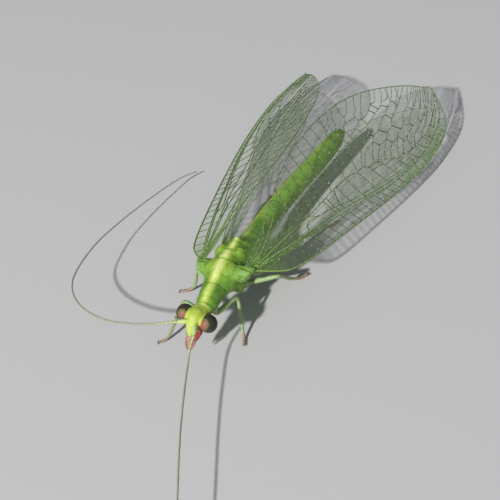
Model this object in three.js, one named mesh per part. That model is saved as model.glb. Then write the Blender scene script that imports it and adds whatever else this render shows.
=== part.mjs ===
// Green lacewing at life size, at rest with its wings held roofwise over the abdomen.
// Millimetres. +X is the animal's left, +Y runs from head to tail, +Z is up, and z = 0 is the floor.
import * as THREE from 'three';

// Driving dimensions
const forewingLength = 14.8;
const hindwingLength = 12.9;
const bodyGap = 0.3; // between one named part and the next
const wingThickness = 0.46; // of the film between the veins
const wingTipThickness = 0.26;
const veinHeight = 0.12; // of a main vein above the film
const veinHalfWidth = 0.022; // as a share of the chord
const wingSpacing = 0.95; // from the middle of a forewing to the middle of the hindwing under it
const wingTipSpacing = 0.72;
const legRadius = 0.24;
const footRadius = 0.2;
const soleDepth = 0.65; // height of a foot's middle as a share of its radius, so that its sole is a flat
const antennaRadius = 0.25;
const antennaTipRadius = 0.11;

// Ends of the body parts along Y, head to tail
const prothoraxFront = -2.26;
const mesothoraxFront = -1.2;
const metathoraxFront = 0.66;
const abdomenFront = 1.95;

// Head
const headPlace = [-0.06, -2.96, 2.5];
const headYaw = -6; // degrees, positive turns the face to the animal's left
const headRoll = 12; // degrees, positive swings the mouth to the animal's right
const eyeInnerFace = 0.71;
const eyeOuterFace = 1.05;
const eyeRadius = 0.45;

// Wings: how each pair of one side is held, in degrees, and how it arches and droops, in millimetres
const wingPose = {
  left: { root: [1.13, -0.16, 3.24], spread: 18.9, slope: 28.9, pitch: 2.4, camber: 0.3, droop: 0 },
  right: { root: [1.06, 0.05, 2.94], spread: 12.8, slope: 29.8, pitch: 2.6, camber: 0.2, droop: 0.75 },
};
const hindwingRootAlong = 1.45;
const hindwingTurn = 1.5;
const hindwingRootOut = 0.1;

// Colours, roughness
const finishes = {
  green: [0x8fce3c, 0.45],
  yellow: [0xc9dd4f, 0.45],
  eye: [0x5a3336, 0.15],
  red: [0xb4415a, 0.45],
  wing: [0xb9d3a4, 0.3],
  leg: [0xb7d48c, 0.5],
  antenna: [0xa9a478, 0.6],
};

const sides = { left: 1, right: -1 };
const degrees = Math.PI / 180;

// A smooth function through a few [position, value] pairs.
function profile(keys) {
  const slopeAt = (i) => {
    const a = keys[Math.max(i - 1, 0)];
    const b = keys[Math.min(i + 1, keys.length - 1)];
    return (b[1] - a[1]) / (b[0] - a[0]);
  };
  return (t) => {
    let i = 0;
    while (i < keys.length - 2 && t > keys[i + 1][0]) i += 1;
    const [t0, v0] = keys[i];
    const [t1, v1] = keys[i + 1];
    const h = t1 - t0;
    const s = THREE.MathUtils.clamp((t - t0) / h, 0, 1);
    const bend0 = slopeAt(i) * h;
    const bend1 = slopeAt(i + 1) * h;
    return (
      v0 * (1 + 2 * s) * (1 - s) ** 2 +
      bend0 * s * (1 - s) ** 2 +
      v1 * s * s * (3 - 2 * s) +
      bend1 * s * s * (s - 1)
    );
  };
}

// A closed solid from points and triangles, with its faces turned outwards.
function closedSolid(points, triangles) {
  let volume = 0;
  for (const [a, b, c] of triangles) {
    volume += points[a].dot(new THREE.Vector3().crossVectors(points[b], points[c]));
  }
  const order = volume < 0 ? ([a, b, c]) => [a, c, b] : ([a, b, c]) => [a, b, c];
  const geometry = new THREE.BufferGeometry();
  geometry.setAttribute(
    'position',
    new THREE.Float32BufferAttribute(points.flatMap((p) => [p.x, p.y, p.z]), 3),
  );
  geometry.setIndex(triangles.flatMap(order));
  geometry.computeVertexNormals();
  return geometry;
}

// Rings of equally many points joined to one solid, with a fan of triangles over each end.
function ringSolid(rings) {
  const count = rings[0].length;
  const points = rings.flat();
  const triangles = [];
  for (let i = 0; i < rings.length - 1; i += 1) {
    for (let j = 0; j < count; j += 1) {
      const a = i * count + j;
      const b = i * count + ((j + 1) % count);
      triangles.push([a, b, a + count], [b, b + count, a + count]);
    }
  }
  for (const [first, flip] of [[0, false], [(rings.length - 1) * count, true]]) {
    const middle = new THREE.Vector3();
    for (let j = 0; j < count; j += 1) middle.addScaledVector(points[first + j], 1 / count);
    const hub = points.push(middle) - 1;
    for (let j = 0; j < count; j += 1) {
      const a = first + j;
      const b = first + ((j + 1) % count);
      triangles.push(flip ? [a, b, hub] : [b, a, hub]);
    }
  }
  return closedSolid(points, triangles);
}

// One oval section of the body. Its top leans forwards by tilt degrees, lobes swells both shoulders.
function bodyRing(section, count) {
  const { x, y, z, width, up, down, tilt, lobes, power } = section;
  const lean = tilt * degrees;
  const ring = [];
  for (let j = 0; j < count; j += 1) {
    const angle = (2 * Math.PI * j) / count;
    const shoulder = Math.exp(-(((Math.acos(Math.cos(angle)) - 0.85) / 0.4) ** 2));
    const grow = 1 + lobes * shoulder;
    const across = Math.sign(Math.sin(angle)) * Math.abs(Math.sin(angle)) ** (2 / power);
    const rise = Math.sign(Math.cos(angle)) * Math.abs(Math.cos(angle)) ** (2 / power);
    const height = rise * (rise > 0 ? up : down) * grow;
    ring.push(
      new THREE.Vector3(
        x + across * width * grow,
        y - height * Math.sin(lean),
        z + height * Math.cos(lean),
      ),
    );
  }
  return ring;
}

// A body part from a few sections, smoothed between them.
function bodyPart(sections, steps, count = 18) {
  const full = sections.map((s) => ({ x: 0, tilt: 0, lobes: 0, power: 2.3, ...s }));
  const curves = {};
  for (const name of Object.keys(full[0])) {
    curves[name] = profile(full.map((s, i) => [i / (full.length - 1), s[name]]));
  }
  const rings = [];
  for (let i = 0; i <= steps; i += 1) {
    const section = {};
    for (const name of Object.keys(curves)) section[name] = curves[name](i / steps);
    rings.push(bodyRing(section, count));
  }
  return ringSolid(rings);
}

// A smooth curve through the given points.
function smoothPath(points) {
  const joints = points.map((p) => new THREE.Vector3(...p));
  return new THREE.CatmullRomCurve3(joints, false, 'centripetal');
}

// Straight stretches between the given joints, each bend rounded to an arc that starts reach before it.
function jointedPath(points, reach) {
  const joints = points.map((p) => new THREE.Vector3(...p));
  const path = new THREE.CurvePath();
  let from = joints[0];
  for (let i = 1; i < joints.length - 1; i += 1) {
    const [before, joint, after] = joints.slice(i - 1, i + 2);
    const back = before.clone().sub(joint);
    const ahead = after.clone().sub(joint);
    const cut = Math.min(reach, 0.48 * back.length(), 0.48 * ahead.length());
    const into = joint.clone().addScaledVector(back.normalize(), cut);
    const out = joint.clone().addScaledVector(ahead.normalize(), cut);
    const turn = Math.PI - back.angleTo(ahead);
    const pull = (4 / 3) * Math.tan(turn / 4) * Math.tan((Math.PI - turn) / 2);
    path.add(new THREE.LineCurve3(from, into));
    path.add(
      new THREE.CubicBezierCurve3(into, into.clone().lerp(joint, pull), out.clone().lerp(joint, pull), out),
    );
    from = out;
  }
  path.add(new THREE.LineCurve3(from, joints[joints.length - 1]));
  return path;
}

// A round limb along part of a path, between two distances from its start.
function limb(path, radiusAt, steps, from = 0, to = Infinity) {
  const count = 8;
  const length = path.getLength();
  const start = from / length;
  const end = Math.min(to / length, 1);
  const at = (i) => start + ((end - start) * i) / steps;
  const rings = [];
  let normal = new THREE.Vector3(0, 0, 1);
  for (let i = 0; i <= steps; i += 1) {
    const middle = path.getPointAt(at(i));
    const tangent = path.getTangentAt(at(i));
    normal = normal.addScaledVector(tangent, -normal.dot(tangent)).normalize();
    const binormal = new THREE.Vector3().crossVectors(tangent, normal);
    const radius = radiusAt(i / steps);
    const ring = [];
    for (let j = 0; j < count; j += 1) {
      const angle = (2 * Math.PI * (j + 0.5)) / count;
      ring.push(
        middle
          .clone()
          .addScaledVector(normal, radius * Math.cos(angle))
          .addScaledVector(binormal, radius * Math.sin(angle)),
      );
    }
    rings.push(ring);
  }
  // The sole of a foot is a small flat on the floor.
  for (const point of rings.flat()) point.z = Math.max(point.z, 0);
  return ringSolid(rings);
}

// Wing outlines, as shares of the wing's length: along the wing, then out from its axis. The veins
// are shares of the chord from the front edge, raised between start and end.
const forewingShape = {
  length: forewingLength,
  stations: 24,
  front: profile([
    [0, 0.024], [0.05, 0.07], [0.1, 0.104], [0.18, 0.119], [0.35, 0.128], [0.55, 0.136], [0.7, 0.134],
    [0.8, 0.12], [0.88, 0.098], [0.94, 0.059], [0.98, -0.009], [1, -0.058],
  ]),
  hind: profile([
    [0, 0.006], [0.1, -0.034], [0.2, -0.09], [0.3, -0.145], [0.4, -0.187], [0.5, -0.212], [0.6, -0.227],
    [0.7, -0.228], [0.8, -0.205], [0.88, -0.164], [0.94, -0.124], [0.98, -0.085], [1, -0.07],
  ]),
  veins: [
    { start: 0, end: 1.1, share: profile([[0, 0.3], [0.1, 0.38], [0.3, 0.24], [0.5, 0.15], [0.7, 0.1], [1, 0.16]]) },
    { start: 0, end: 0.95, share: profile([[0, 0.44], [0.1, 0.47], [0.3, 0.4], [0.5, 0.39], [0.72, 0.22], [1, 0.27]]) },
    { start: 0.45, end: 0.95, share: profile([[0, 0.53], [0.3, 0.46], [0.55, 0.44], [0.7, 0.42], [0.86, 0.62], [1, 0.76]]) },
    { start: 0.4, end: 0.93, share: profile([[0, 0.62], [0.3, 0.52], [0.55, 0.51], [0.7, 0.56], [0.86, 0.77], [1, 0.84]]) },
    { start: 0, end: 0.9, share: profile([[0, 0.71], [0.1, 0.68], [0.35, 0.59], [0.6, 0.635], [0.72, 0.69], [0.86, 0.86], [1, 0.9]]) },
    { start: 0, end: 0.55, share: profile([[0, 0.86], [0.1, 0.84], [0.42, 0.86], [0.7, 0.9], [0.86, 0.935], [1, 0.95]]) },
  ],
};
const hindwingShape = {
  length: hindwingLength,
  stations: 20,
  front: profile([
    [0, 0.02], [0.06, 0.04], [0.2, 0.052], [0.45, 0.072], [0.68, 0.082], [0.84, 0.062],
    [0.94, 0.02], [0.98, -0.02], [1, -0.05],
  ]),
  hind: profile([
    [0, -0.005], [0.1, -0.03], [0.2, -0.066], [0.32, -0.118], [0.46, -0.17], [0.62, -0.19],
    [0.78, -0.162], [0.9, -0.112], [0.97, -0.075], [1, -0.06],
  ]),
  veins: [
    { start: 0, end: 1.1, share: profile([[0, 0.3], [0.2, 0.22], [0.5, 0.13], [1, 0.14]]) },
    { start: 0, end: 0.95, share: profile([[0, 0.5], [0.3, 0.4], [0.5, 0.38], [0.75, 0.26], [1, 0.32]]) },
    { start: 0.4, end: 0.93, share: profile([[0, 0.62], [0.4, 0.5], [0.6, 0.5], [0.85, 0.64], [1, 0.7]]) },
    { start: 0, end: 0.85, share: profile([[0, 0.76], [0.3, 0.68], [0.6, 0.68], [0.85, 0.82], [1, 0.86]]) },
  ],
};

// The lines across a wing at one station, front to back: [share of the chord, height, thickness].
function chordLines(shape, t) {
  const rim = 0.03;
  const lines = [[0, 0, 0.5], [rim, 0, 1]];
  for (const vein of shape.veins) {
    const share = vein.share(t);
    const rises = THREE.MathUtils.smoothstep(t, vein.start - 0.1, vein.start + 0.1);
    const fades = 1 - THREE.MathUtils.smoothstep(t, vein.end - 0.25, vein.end);
    lines.push([share - veinHalfWidth, 0, 1], [share, veinHeight * rises * fades, 1], [share + veinHalfWidth, 0, 1]);
  }
  lines.push([1 - rim / 2, 0, 1], [1, 0, 0.5]);
  return lines;
}

// A wing as a thin vane. Its own +Y runs to the tip, its front edge is on the outer side, +Z is up.
// Both faces are split into the same triangles.
function wing(shape, side, pose, place) {
  const top = [];
  const bottom = [];
  let across = 0;
  for (let i = 0; i <= shape.stations; i += 1) {
    const t = 1 - (1 - i / shape.stations) ** 1.6;
    const front = shape.front(t) * shape.length;
    const hind = shape.hind(t) * shape.length;
    const taper = THREE.MathUtils.smoothstep(t, 0.7, 1);
    const thickness = THREE.MathUtils.lerp(wingThickness, wingTipThickness, taper);
    const lines = chordLines(shape, t);
    across = lines.length;
    for (const [share, height, fullness] of lines) {
      const out = THREE.MathUtils.lerp(front, hind, share);
      const flat = place(out, t * shape.length);
      const middle = wingRise(pose, flat.out, flat.along) + flat.drop;
      const half = (thickness / 2) * fullness;
      top.push(new THREE.Vector3(side * flat.out, flat.along, middle + half + height));
      bottom.push(new THREE.Vector3(side * flat.out, flat.along, middle - half));
    }
  }
  const under = top.length;
  const last = shape.stations * across;
  const triangles = [];
  for (let row = 0; row < last; row += across) {
    for (let a = row; a < row + across - 1; a += 1) {
      const b = a + across;
      triangles.push([a, a + 1, b], [a + 1, b + 1, b]);
      triangles.push([a + under, b + under, a + 1 + under], [a + 1 + under, b + under, b + 1 + under]);
    }
  }
  const rim = [];
  for (let a = 0; a < last; a += across) rim.push(a);
  for (let a = last; a < last + across - 1; a += 1) rim.push(a);
  for (let a = last + across - 1; a > across - 1; a -= across) rim.push(a);
  for (let a = across - 1; a > 0; a -= 1) rim.push(a);
  rim.forEach((a, k) => {
    const b = rim[(k + 1) % rim.length];
    triangles.push([a, b, a + under], [b, b + under, a + under]);
  });
  return closedSolid([...top, ...bottom], triangles);
}

// The shallow arch that both wings of one side share, in the forewing's own frame.
function wingRise(pose, out, along) {
  const middleOut = -0.9;
  const halfSpan = 2.9;
  const arch = 1 - ((out - middleOut) / halfSpan) ** 2;
  const sag = pose.droop * (along / forewingLength) ** 2;
  return pose.camber * arch * THREE.MathUtils.smoothstep(along, 0, 5) - sag;
}

const forewingPlace = (out, along) => ({ out, along, drop: 0 });
function hindwingPlace(out, along) {
  const turn = hindwingTurn * degrees;
  return {
    out: hindwingRootOut + out * Math.cos(turn) + along * Math.sin(turn),
    along: hindwingRootAlong + along * Math.cos(turn) - out * Math.sin(turn),
    drop: -THREE.MathUtils.lerp(wingSpacing, wingTipSpacing, THREE.MathUtils.smoothstep(along, 8, 13)),
  };
}

const model = new THREE.Group();

function add(parent, name, geometry, finish) {
  const [color, roughness] = finishes[finish];
  const material = new THREE.MeshStandardMaterial({ color, roughness, metalness: 0 });
  const mesh = new THREE.Mesh(geometry, material);
  mesh.name = name;
  parent.add(mesh);
  return mesh;
}

// Head, with the face sloping down and forwards to the mouth.
const head = new THREE.Group();
head.position.set(...headPlace);
head.rotation.set(0, headRoll * degrees, headYaw * degrees, 'ZYX');
model.add(head);

add(
  head,
  'head',
  bodyPart(
    [
      { y: 0.4, z: 0.08, width: 0.38, up: 0.28, down: 0.3, tilt: 0 },
      { y: 0.28, z: 0.06, width: 0.46, up: 0.37, down: 0.4, tilt: 5 },
      { y: 0.05, z: 0.0, width: 0.43, up: 0.46, down: 0.48, tilt: 14 },
      { y: -0.22, z: -0.14, width: 0.42, up: 0.46, down: 0.42, tilt: 32 },
      { y: -0.42, z: -0.4, width: 0.42, up: 0.38, down: 0.34, tilt: 48 },
      { y: -0.56, z: -0.62, width: 0.35, up: 0.26, down: 0.26, tilt: 54 },
    ],
    12,
  ),
  'yellow',
);

// Beak of jaws and feelers below the face.
add(
  head,
  'mouthparts',
  bodyPart(
    [
      { y: -0.73, z: -0.85, width: 0.31, up: 0.23, down: 0.23, tilt: 54 },
      { y: -0.79, z: -0.95, width: 0.29, up: 0.22, down: 0.22, tilt: 56 },
      { y: -0.88, z: -1.12, width: 0.22, up: 0.16, down: 0.16, tilt: 60 },
      { y: -0.95, z: -1.28, width: 0.1, up: 0.08, down: 0.08, tilt: 62 },
    ],
    7,
    12,
  ),
  'red',
);

// Each eye is a dome on the side of the head.
function eyeDome() {
  const height = eyeOuterFace - eyeInnerFace;
  const outline = [new THREE.Vector2(0, 0)];
  const steps = 7;
  for (let i = 0; i <= steps; i += 1) {
    const angle = (i / steps) * 90 * degrees;
    const radius = i === steps ? 0 : eyeRadius * Math.cos(angle);
    outline.push(new THREE.Vector2(radius, height * Math.sin(angle)));
  }
  return new THREE.LatheGeometry(outline, 20);
}
for (const [name, side] of Object.entries(sides)) {
  const eye = add(head, `eye_${name}`, eyeDome(), 'eye');
  eye.position.set(side * eyeInnerFace, -0.03, 0);
  eye.rotation.set(0, 0, -side * 90 * degrees);
}

// Thorax in three parts, with the wing-bearing middle one deepest.
add(
  model,
  'prothorax',
  bodyPart(
    [
      { y: prothoraxFront, z: 2.5, width: 0.46, up: 0.36, down: 0.34 },
      { y: -2.05, z: 2.52, width: 0.51, up: 0.41, down: 0.4 },
      { y: -1.75, z: 2.55, width: 0.52, up: 0.45, down: 0.42 },
      { y: mesothoraxFront - bodyGap, z: 2.56, width: 0.52, up: 0.45, down: 0.4 },
    ],
    7,
  ),
  'green',
);
add(
  model,
  'mesothorax',
  bodyPart(
    [
      { y: mesothoraxFront, z: 2.58, width: 0.55, up: 0.46, down: 0.42, lobes: 0.02 },
      { y: -0.85, z: 2.52, width: 0.72, up: 0.66, down: 0.66, lobes: 0.05 },
      { y: -0.4, z: 2.4, width: 0.82, up: 0.92, down: 0.95, lobes: 0.02, power: 2.1 },
      { y: 0.05, z: 2.36, width: 0.84, up: 0.98, down: 1.0, lobes: 0, power: 2 },
      { y: metathoraxFront - bodyGap, z: 2.36, width: 0.74, up: 0.9, down: 0.85, lobes: 0, power: 2.1 },
    ],
    11,
  ),
  'green',
);
add(
  model,
  'metathorax',
  bodyPart(
    [
      { y: metathoraxFront, z: 2.36, width: 0.68, up: 0.86, down: 0.8, lobes: 0.02 },
      { y: 0.95, z: 2.36, width: 0.62, up: 0.9, down: 0.84, lobes: 0.06 },
      { y: 1.3, z: 2.38, width: 0.56, up: 0.8, down: 0.76, lobes: 0.04 },
      { y: abdomenFront - bodyGap, z: 2.42, width: 0.44, up: 0.5, down: 0.5 },
    ],
    9,
  ),
  'green',
);

// Abdomen of nine rings, bending a little to the animal's left.
const abdomenRings = 9;
function abdomen() {
  const path = [
    [0, abdomenFront, 2.3], [-0.07, 3.1, 1.96], [0.04, 4.8, 1.79], [0.33, 6.7, 1.75],
    [0.66, 8.2, 1.75], [0.97, 9.6, 1.83], [1.17, 10.5, 1.93],
  ];
  const curve = new THREE.CatmullRomCurve3(path.map((p) => new THREE.Vector3(...p)));
  const girth = profile([[0, 0.44], [0.1, 0.49], [0.4, 0.52], [0.75, 0.5], [0.93, 0.42], [1, 0.22]]);
  const perRing = 3;
  const rings = [];
  for (let i = 0; i <= abdomenRings * perRing; i += 1) {
    const t = i / (abdomenRings * perRing);
    const middle = curve.getPointAt(t);
    const crease = i % perRing === 0 && t > 0 && t < 1 ? 0.94 : 1;
    const radius = girth(t) * crease;
    rings.push(
      bodyRing(
        {
          x: middle.x, y: middle.y, z: middle.z, tilt: 0, lobes: 0, power: 2,
          width: radius, up: radius, down: radius * 1.04,
        },
        16,
      ),
    );
  }
  return ringSolid(rings);
}
add(model, 'abdomen', abdomen(), 'green');

// Legs from the thorax's underside to the floor: hip, its bend, knee, ankle and toe.
const legs = {
  foreleg_left: [[0.42, -1.93, 1.86], [0.72, -1.86, 1.42], [1.02, -0.88, 1.56], [1, -1.45, 0.42], [1.22, -2.2]],
  foreleg_right: [[-0.45, -1.93, 1.88], [-0.95, -1.88, 1.45], [-1.6, -1.8, 1.95], [-2.35, -2.78, 0.4], [-2.86, -3.15]],
  midleg_left: [[0.55, 0.05, 1.08], [0.88, 0.4, 0.96], [2.06, 0.8, 1.7], [1.86, 1.75, 0.4], [2.38, 2.46]],
  midleg_right: [[-0.52, -0.1, 1.1], [-1, -0.1, 0.92], [-1.85, 0.02, 2], [-2.6, 0.2, 0.4], [-3.4, -0.05]],
  hindleg_left: [[0.4, 1.1, 1.22], [0.6, 1.4, 0.9], [1.32, 3.2, 1], [2.02, 5.3, 0.38], [2.42, 6.05]],
  hindleg_right: [[-0.4, 1.1, 1.22], [-0.6, 1.4, 0.9], [-1.28, 3.4, 0.96], [-1.68, 6.15, 0.38], [-1.8, 7]],
};
const legBend = 0.5; // how far each bend is rounded
const legSteps = 26;
const legWidth = profile([[0, legRadius], [0.85, legRadius], [0.95, footRadius], [1, footRadius]]);
for (const [name, [hip, bend, knee, ankle, toe]] of Object.entries(legs)) {
  const soleHeight = footRadius * soleDepth;
  const heel = [
    THREE.MathUtils.lerp(ankle[0], toe[0], 0.5),
    THREE.MathUtils.lerp(ankle[1], toe[1], 0.5),
    soleHeight,
  ];
  const path = jointedPath([hip, bend, knee, ankle, heel, [...toe, soleHeight]], legBend);
  add(model, name, limb(path, legWidth, legSteps), 'leg');
}

// Antennae, each longer than a forewing, as a scape and three lengths.
const antennae = {
  left: [
    [0.32, -3.96, 2.5], [0.24, -4.36, 2.2], [0.32, -4.82, 1.96], [1.03, -6.65, 1.82], [1.83, -8.44, 1.75],
    [2.97, -10.73, 1.65], [3.89, -12.5, 1.55], [5.19, -14.38, 1.4], [6.91, -16.05, 1.2], [8.8, -17.4, 0.9],
    [10.4, -18.3, 0.5],
  ],
  right: [
    [-0.56, -3.97, 2.64], [-1.14, -4.06, 2.7], [-2.25, -3.98, 2.6], [-4.36, -4.12, 2.4], [-6.47, -3.46, 2.2],
    [-7.79, -2.16, 2], [-8.21, 0.07, 1.8], [-8.05, 2.23, 1.5], [-7.53, 4.93, 1.05], [-7.01, 6.9, 0.65],
    [-6.56, 7.67, 0.45],
  ],
};
const antennaBreaks = [0, 0.8, 6.4, 12, 20];
for (const [name, points] of Object.entries(antennae)) {
  const path = smoothPath(points);
  for (let k = 0; k < antennaBreaks.length - 1; k += 1) {
    const last = k === antennaBreaks.length - 2;
    const tip = last ? antennaTipRadius : antennaRadius;
    const width = profile([[0, antennaRadius], [0.5, antennaRadius], [1, tip]]);
    const from = antennaBreaks[k] + (k ? bodyGap : 0);
    const label = k ? `antenna_${name}_length_${k}` : `antenna_${name}_scape`;
    add(model, label, limb(path, width, k ? 12 : 3, from, antennaBreaks[k + 1]), 'antenna');
  }
}

// Wings, a forewing over a hindwing on each side.
for (const [name, side] of Object.entries(sides)) {
  const pose = wingPose[name];
  const pair = new THREE.Group();
  const [rootOut, rootAlong, rootHeight] = pose.root;
  pair.position.set(side * rootOut, rootAlong, rootHeight);
  pair.rotation.set(pose.pitch * degrees, side * pose.slope * degrees, -side * pose.spread * degrees, 'XYZ');
  model.add(pair);
  add(pair, `forewing_${name}`, wing(forewingShape, side, pose, forewingPlace), 'wing');
  add(pair, `hindwing_${name}`, wing(hindwingShape, side, pose, hindwingPlace), 'wing');
}

// The origin is the middle of the floor under the whole animal.
model.updateMatrixWorld(true);
const extent = new THREE.Box3().setFromObject(model, true);
const whole = new THREE.Group();
model.position.set(-(extent.min.x + extent.max.x) / 2, -(extent.min.y + extent.max.y) / 2, 0);
whole.add(model);

export default whole;
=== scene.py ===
# Green lacewing at rest, life size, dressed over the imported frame.
# Shapes are made in millimetres on the axes of the solids: +X is the animal's left, +Y runs to the tail.
import random
from math import atan2, copysign, cos, exp, hypot, pi, radians, sin

import bmesh
import bpy
from mathutils import Matrix, Vector
from mathutils.noise import noise


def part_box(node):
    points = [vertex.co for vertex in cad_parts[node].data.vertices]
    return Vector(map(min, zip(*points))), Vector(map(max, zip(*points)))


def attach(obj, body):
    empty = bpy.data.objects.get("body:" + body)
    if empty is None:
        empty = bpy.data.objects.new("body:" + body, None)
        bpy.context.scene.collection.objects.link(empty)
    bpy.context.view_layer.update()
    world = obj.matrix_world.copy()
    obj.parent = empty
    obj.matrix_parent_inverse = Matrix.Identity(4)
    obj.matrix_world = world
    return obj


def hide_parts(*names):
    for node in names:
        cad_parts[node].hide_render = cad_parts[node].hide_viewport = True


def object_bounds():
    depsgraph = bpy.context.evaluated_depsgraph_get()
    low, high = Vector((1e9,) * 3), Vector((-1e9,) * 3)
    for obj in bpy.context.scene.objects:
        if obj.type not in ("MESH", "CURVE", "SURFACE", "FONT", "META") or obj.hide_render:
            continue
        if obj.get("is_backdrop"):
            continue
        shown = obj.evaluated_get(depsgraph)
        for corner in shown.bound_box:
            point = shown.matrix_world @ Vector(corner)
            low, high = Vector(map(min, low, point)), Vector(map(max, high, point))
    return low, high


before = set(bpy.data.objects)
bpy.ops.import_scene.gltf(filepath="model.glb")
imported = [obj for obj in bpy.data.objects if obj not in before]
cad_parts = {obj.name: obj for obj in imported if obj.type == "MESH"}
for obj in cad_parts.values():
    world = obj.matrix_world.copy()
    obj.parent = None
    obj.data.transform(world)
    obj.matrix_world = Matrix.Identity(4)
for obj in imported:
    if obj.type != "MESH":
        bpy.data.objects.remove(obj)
cad_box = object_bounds()

MILLIMETRE = 0.001
MESOTHORAX_FRONT = -1.2
thorax_low, thorax_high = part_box("mesothorax")
shift = Vector(((thorax_low.x + thorax_high.x) / 2, thorax_low.y - MESOTHORAX_FRONT * MILLIMETRE, 0))
PLACE = Matrix.Translation(shift) @ Matrix.Scale(MILLIMETRE, 4)
SIDES = {"left": 1, "right": -1}


# Small tools for numbers and lines

def lerp(a, b, t):
    return a + (b - a) * t


def ramp(value, low, high):
    """From 0 at low to 1 at high, with soft ends."""
    t = min(max((value - low) / (high - low), 0), 1)
    return t * t * (3 - 2 * t)


def fall(value, low, high):
    return 1 - ramp(value, low, high)


def bump(value, middle, width):
    """A soft hill of height one."""
    return exp(-(((value - middle) / width) ** 2))


def hermite(a, b, lead, trail, s):
    """From a to b as s runs from 0 to 1, with the given slopes at the ends."""
    start = a * (1 + 2 * s) * (1 - s) ** 2 + lead * s * (1 - s) ** 2
    return start + b * s * s * (3 - 2 * s) + trail * s * s * (s - 1)


def on_side(side, place):
    """A place given for the left (1), there or mirrored to the right (-1)."""
    return Vector((side * place[0], place[1], place[2]))


def profile(keys):
    """A smooth function through a few (position, value) pairs."""

    def slope(i):
        a = keys[max(i - 1, 0)]
        b = keys[min(i + 1, len(keys) - 1)]
        return (b[1] - a[1]) / (b[0] - a[0])

    def value(t):
        i = 0
        while i < len(keys) - 2 and t > keys[i + 1][0]:
            i += 1
        t0, v0 = keys[i]
        t1, v1 = keys[i + 1]
        h = t1 - t0
        s = min(max((t - t0) / h, 0), 1)
        return hermite(v0, v1, slope(i) * h, slope(i + 1) * h, s)

    return value


def smooth_line(points):
    """A centripetal Catmull-Rom curve through the points."""
    steps = 14
    joints = [Vector(p) for p in points]
    ends = [joints[0] * 2 - joints[1]] + joints + [joints[-1] * 2 - joints[-2]]
    line = []
    for p0, p1, p2, p3 in zip(ends, ends[1:], ends[2:], ends[3:]):
        gap0 = (p1 - p0).length ** 0.5
        gap1 = (p2 - p1).length ** 0.5
        gap2 = (p3 - p2).length ** 0.5
        lead = ((p1 - p0) / gap0 - (p2 - p0) / (gap0 + gap1) + (p2 - p1) / gap1) * gap1
        trail = ((p2 - p1) / gap1 - (p3 - p1) / (gap1 + gap2) + (p3 - p2) / gap2) * gap1
        line += [hermite(p1, p2, lead, trail, i / steps) for i in range(steps)]
    return line + [joints[-1]]


def jointed_line(points, reach):
    """Straight stretches between joints, each corner rounded from reach before it."""
    steps = 6
    joints = [Vector(p) for p in points]
    line = [joints[0]]
    for before, joint, after in zip(joints, joints[1:], joints[2:]):
        back = before - joint
        ahead = after - joint
        cut = min(reach, 0.48 * back.length, 0.48 * ahead.length)
        start = joint + back.normalized() * cut
        end = joint + ahead.normalized() * cut
        for i in range(steps + 1):
            s = i / steps
            line.append(start * (1 - s) ** 2 + joint * 2 * s * (1 - s) + end * s * s)
    return line + [joints[-1]]


def resample(line, step):
    """The same line in equal steps of about the given size."""
    lengths = [0.0]
    for a, b in zip(line, line[1:]):
        lengths.append(lengths[-1] + (b - a).length)
    count = max(1, round(lengths[-1] / step))
    out = []
    k = 0
    for i in range(count + 1):
        want = lengths[-1] * i / count
        while k < len(line) - 2 and lengths[k + 1] < want:
            k += 1
        span = lengths[k + 1] - lengths[k]
        out.append(line[k].lerp(line[k + 1], (want - lengths[k]) / span if span else 0))
    return out


# Shapes

class Shape:
    """Points and faces that grow into one mesh, with values kept for each point."""

    def __init__(self):
        self.points = []
        self.faces = []
        self.finishes = []
        self.marks = {}
        self.uvs = []

    def mark(self, first, **values):
        """Values for the points from first on: numbers, or functions of the point's index."""
        for name, value in values.items():
            kept = self.marks.setdefault(name, {})
            for i in range(first, len(self.points)):
                kept[i] = value(i) if callable(value) else value

    def loft(self, rings, finish=0):
        """Join rings into a closed form, and say which point is its first."""
        count = len(rings[0])
        first = len(self.points)
        for ring in rings:
            self.points.extend(ring)
        for i in range(len(rings) - 1):
            for j in range(count):
                a = first + i * count + j
                b = first + i * count + (j + 1) % count
                self.faces.append((a, b, b + count, a + count))
        last = len(self.points) - count
        self.faces.append(tuple(reversed(range(first, first + count))))
        self.faces.append(tuple(range(last, last + count)))
        self.finishes.extend([finish] * (len(self.faces) - len(self.finishes)))
        return first

    def tube(self, line, radius, sides=6, finish=0, flat=1.0, up=(0, 0, 1)):
        """A tube along a line. The radius is a number or a function of the share run."""
        rings = []
        normal = Vector(up)
        for i, point in enumerate(line):
            tangent = (line[min(i + 1, len(line) - 1)] - line[max(i - 1, 0)]).normalized()
            normal = (normal - tangent * normal.dot(tangent)).normalized()
            across = tangent.cross(normal)
            size = radius(i / (len(line) - 1)) if callable(radius) else radius
            angles = [2 * pi * j / sides for j in range(sides)]
            rings.append([
                point + normal * size * flat * cos(angle) + across * size * sin(angle)
                for angle in angles
            ])
        return self.loft(rings, finish)

    def blob(self, middle, radii, turn=None, rings=14, count=22):
        """An ellipsoid."""
        turn = turn or Matrix.Identity(3)
        levels = []
        for i in range(rings + 1):
            polar = pi * (i + 0.15) / (rings + 0.3)
            ring = []
            for j in range(count):
                angle = 2 * pi * j / count
                local = Vector((
                    radii[0] * sin(polar) * cos(angle),
                    radii[1] * sin(polar) * sin(angle),
                    radii[2] * cos(polar),
                ))
                ring.append(Vector(middle) + turn @ local)
            levels.append(ring)
        return self.loft(levels)

    def dress(self, name, finishes, slot, nodes=(), closed=True):
        mesh = to_mesh(name, self)
        if closed:
            outwards(mesh)
        dress(name, mesh, finishes, nodes)


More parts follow.
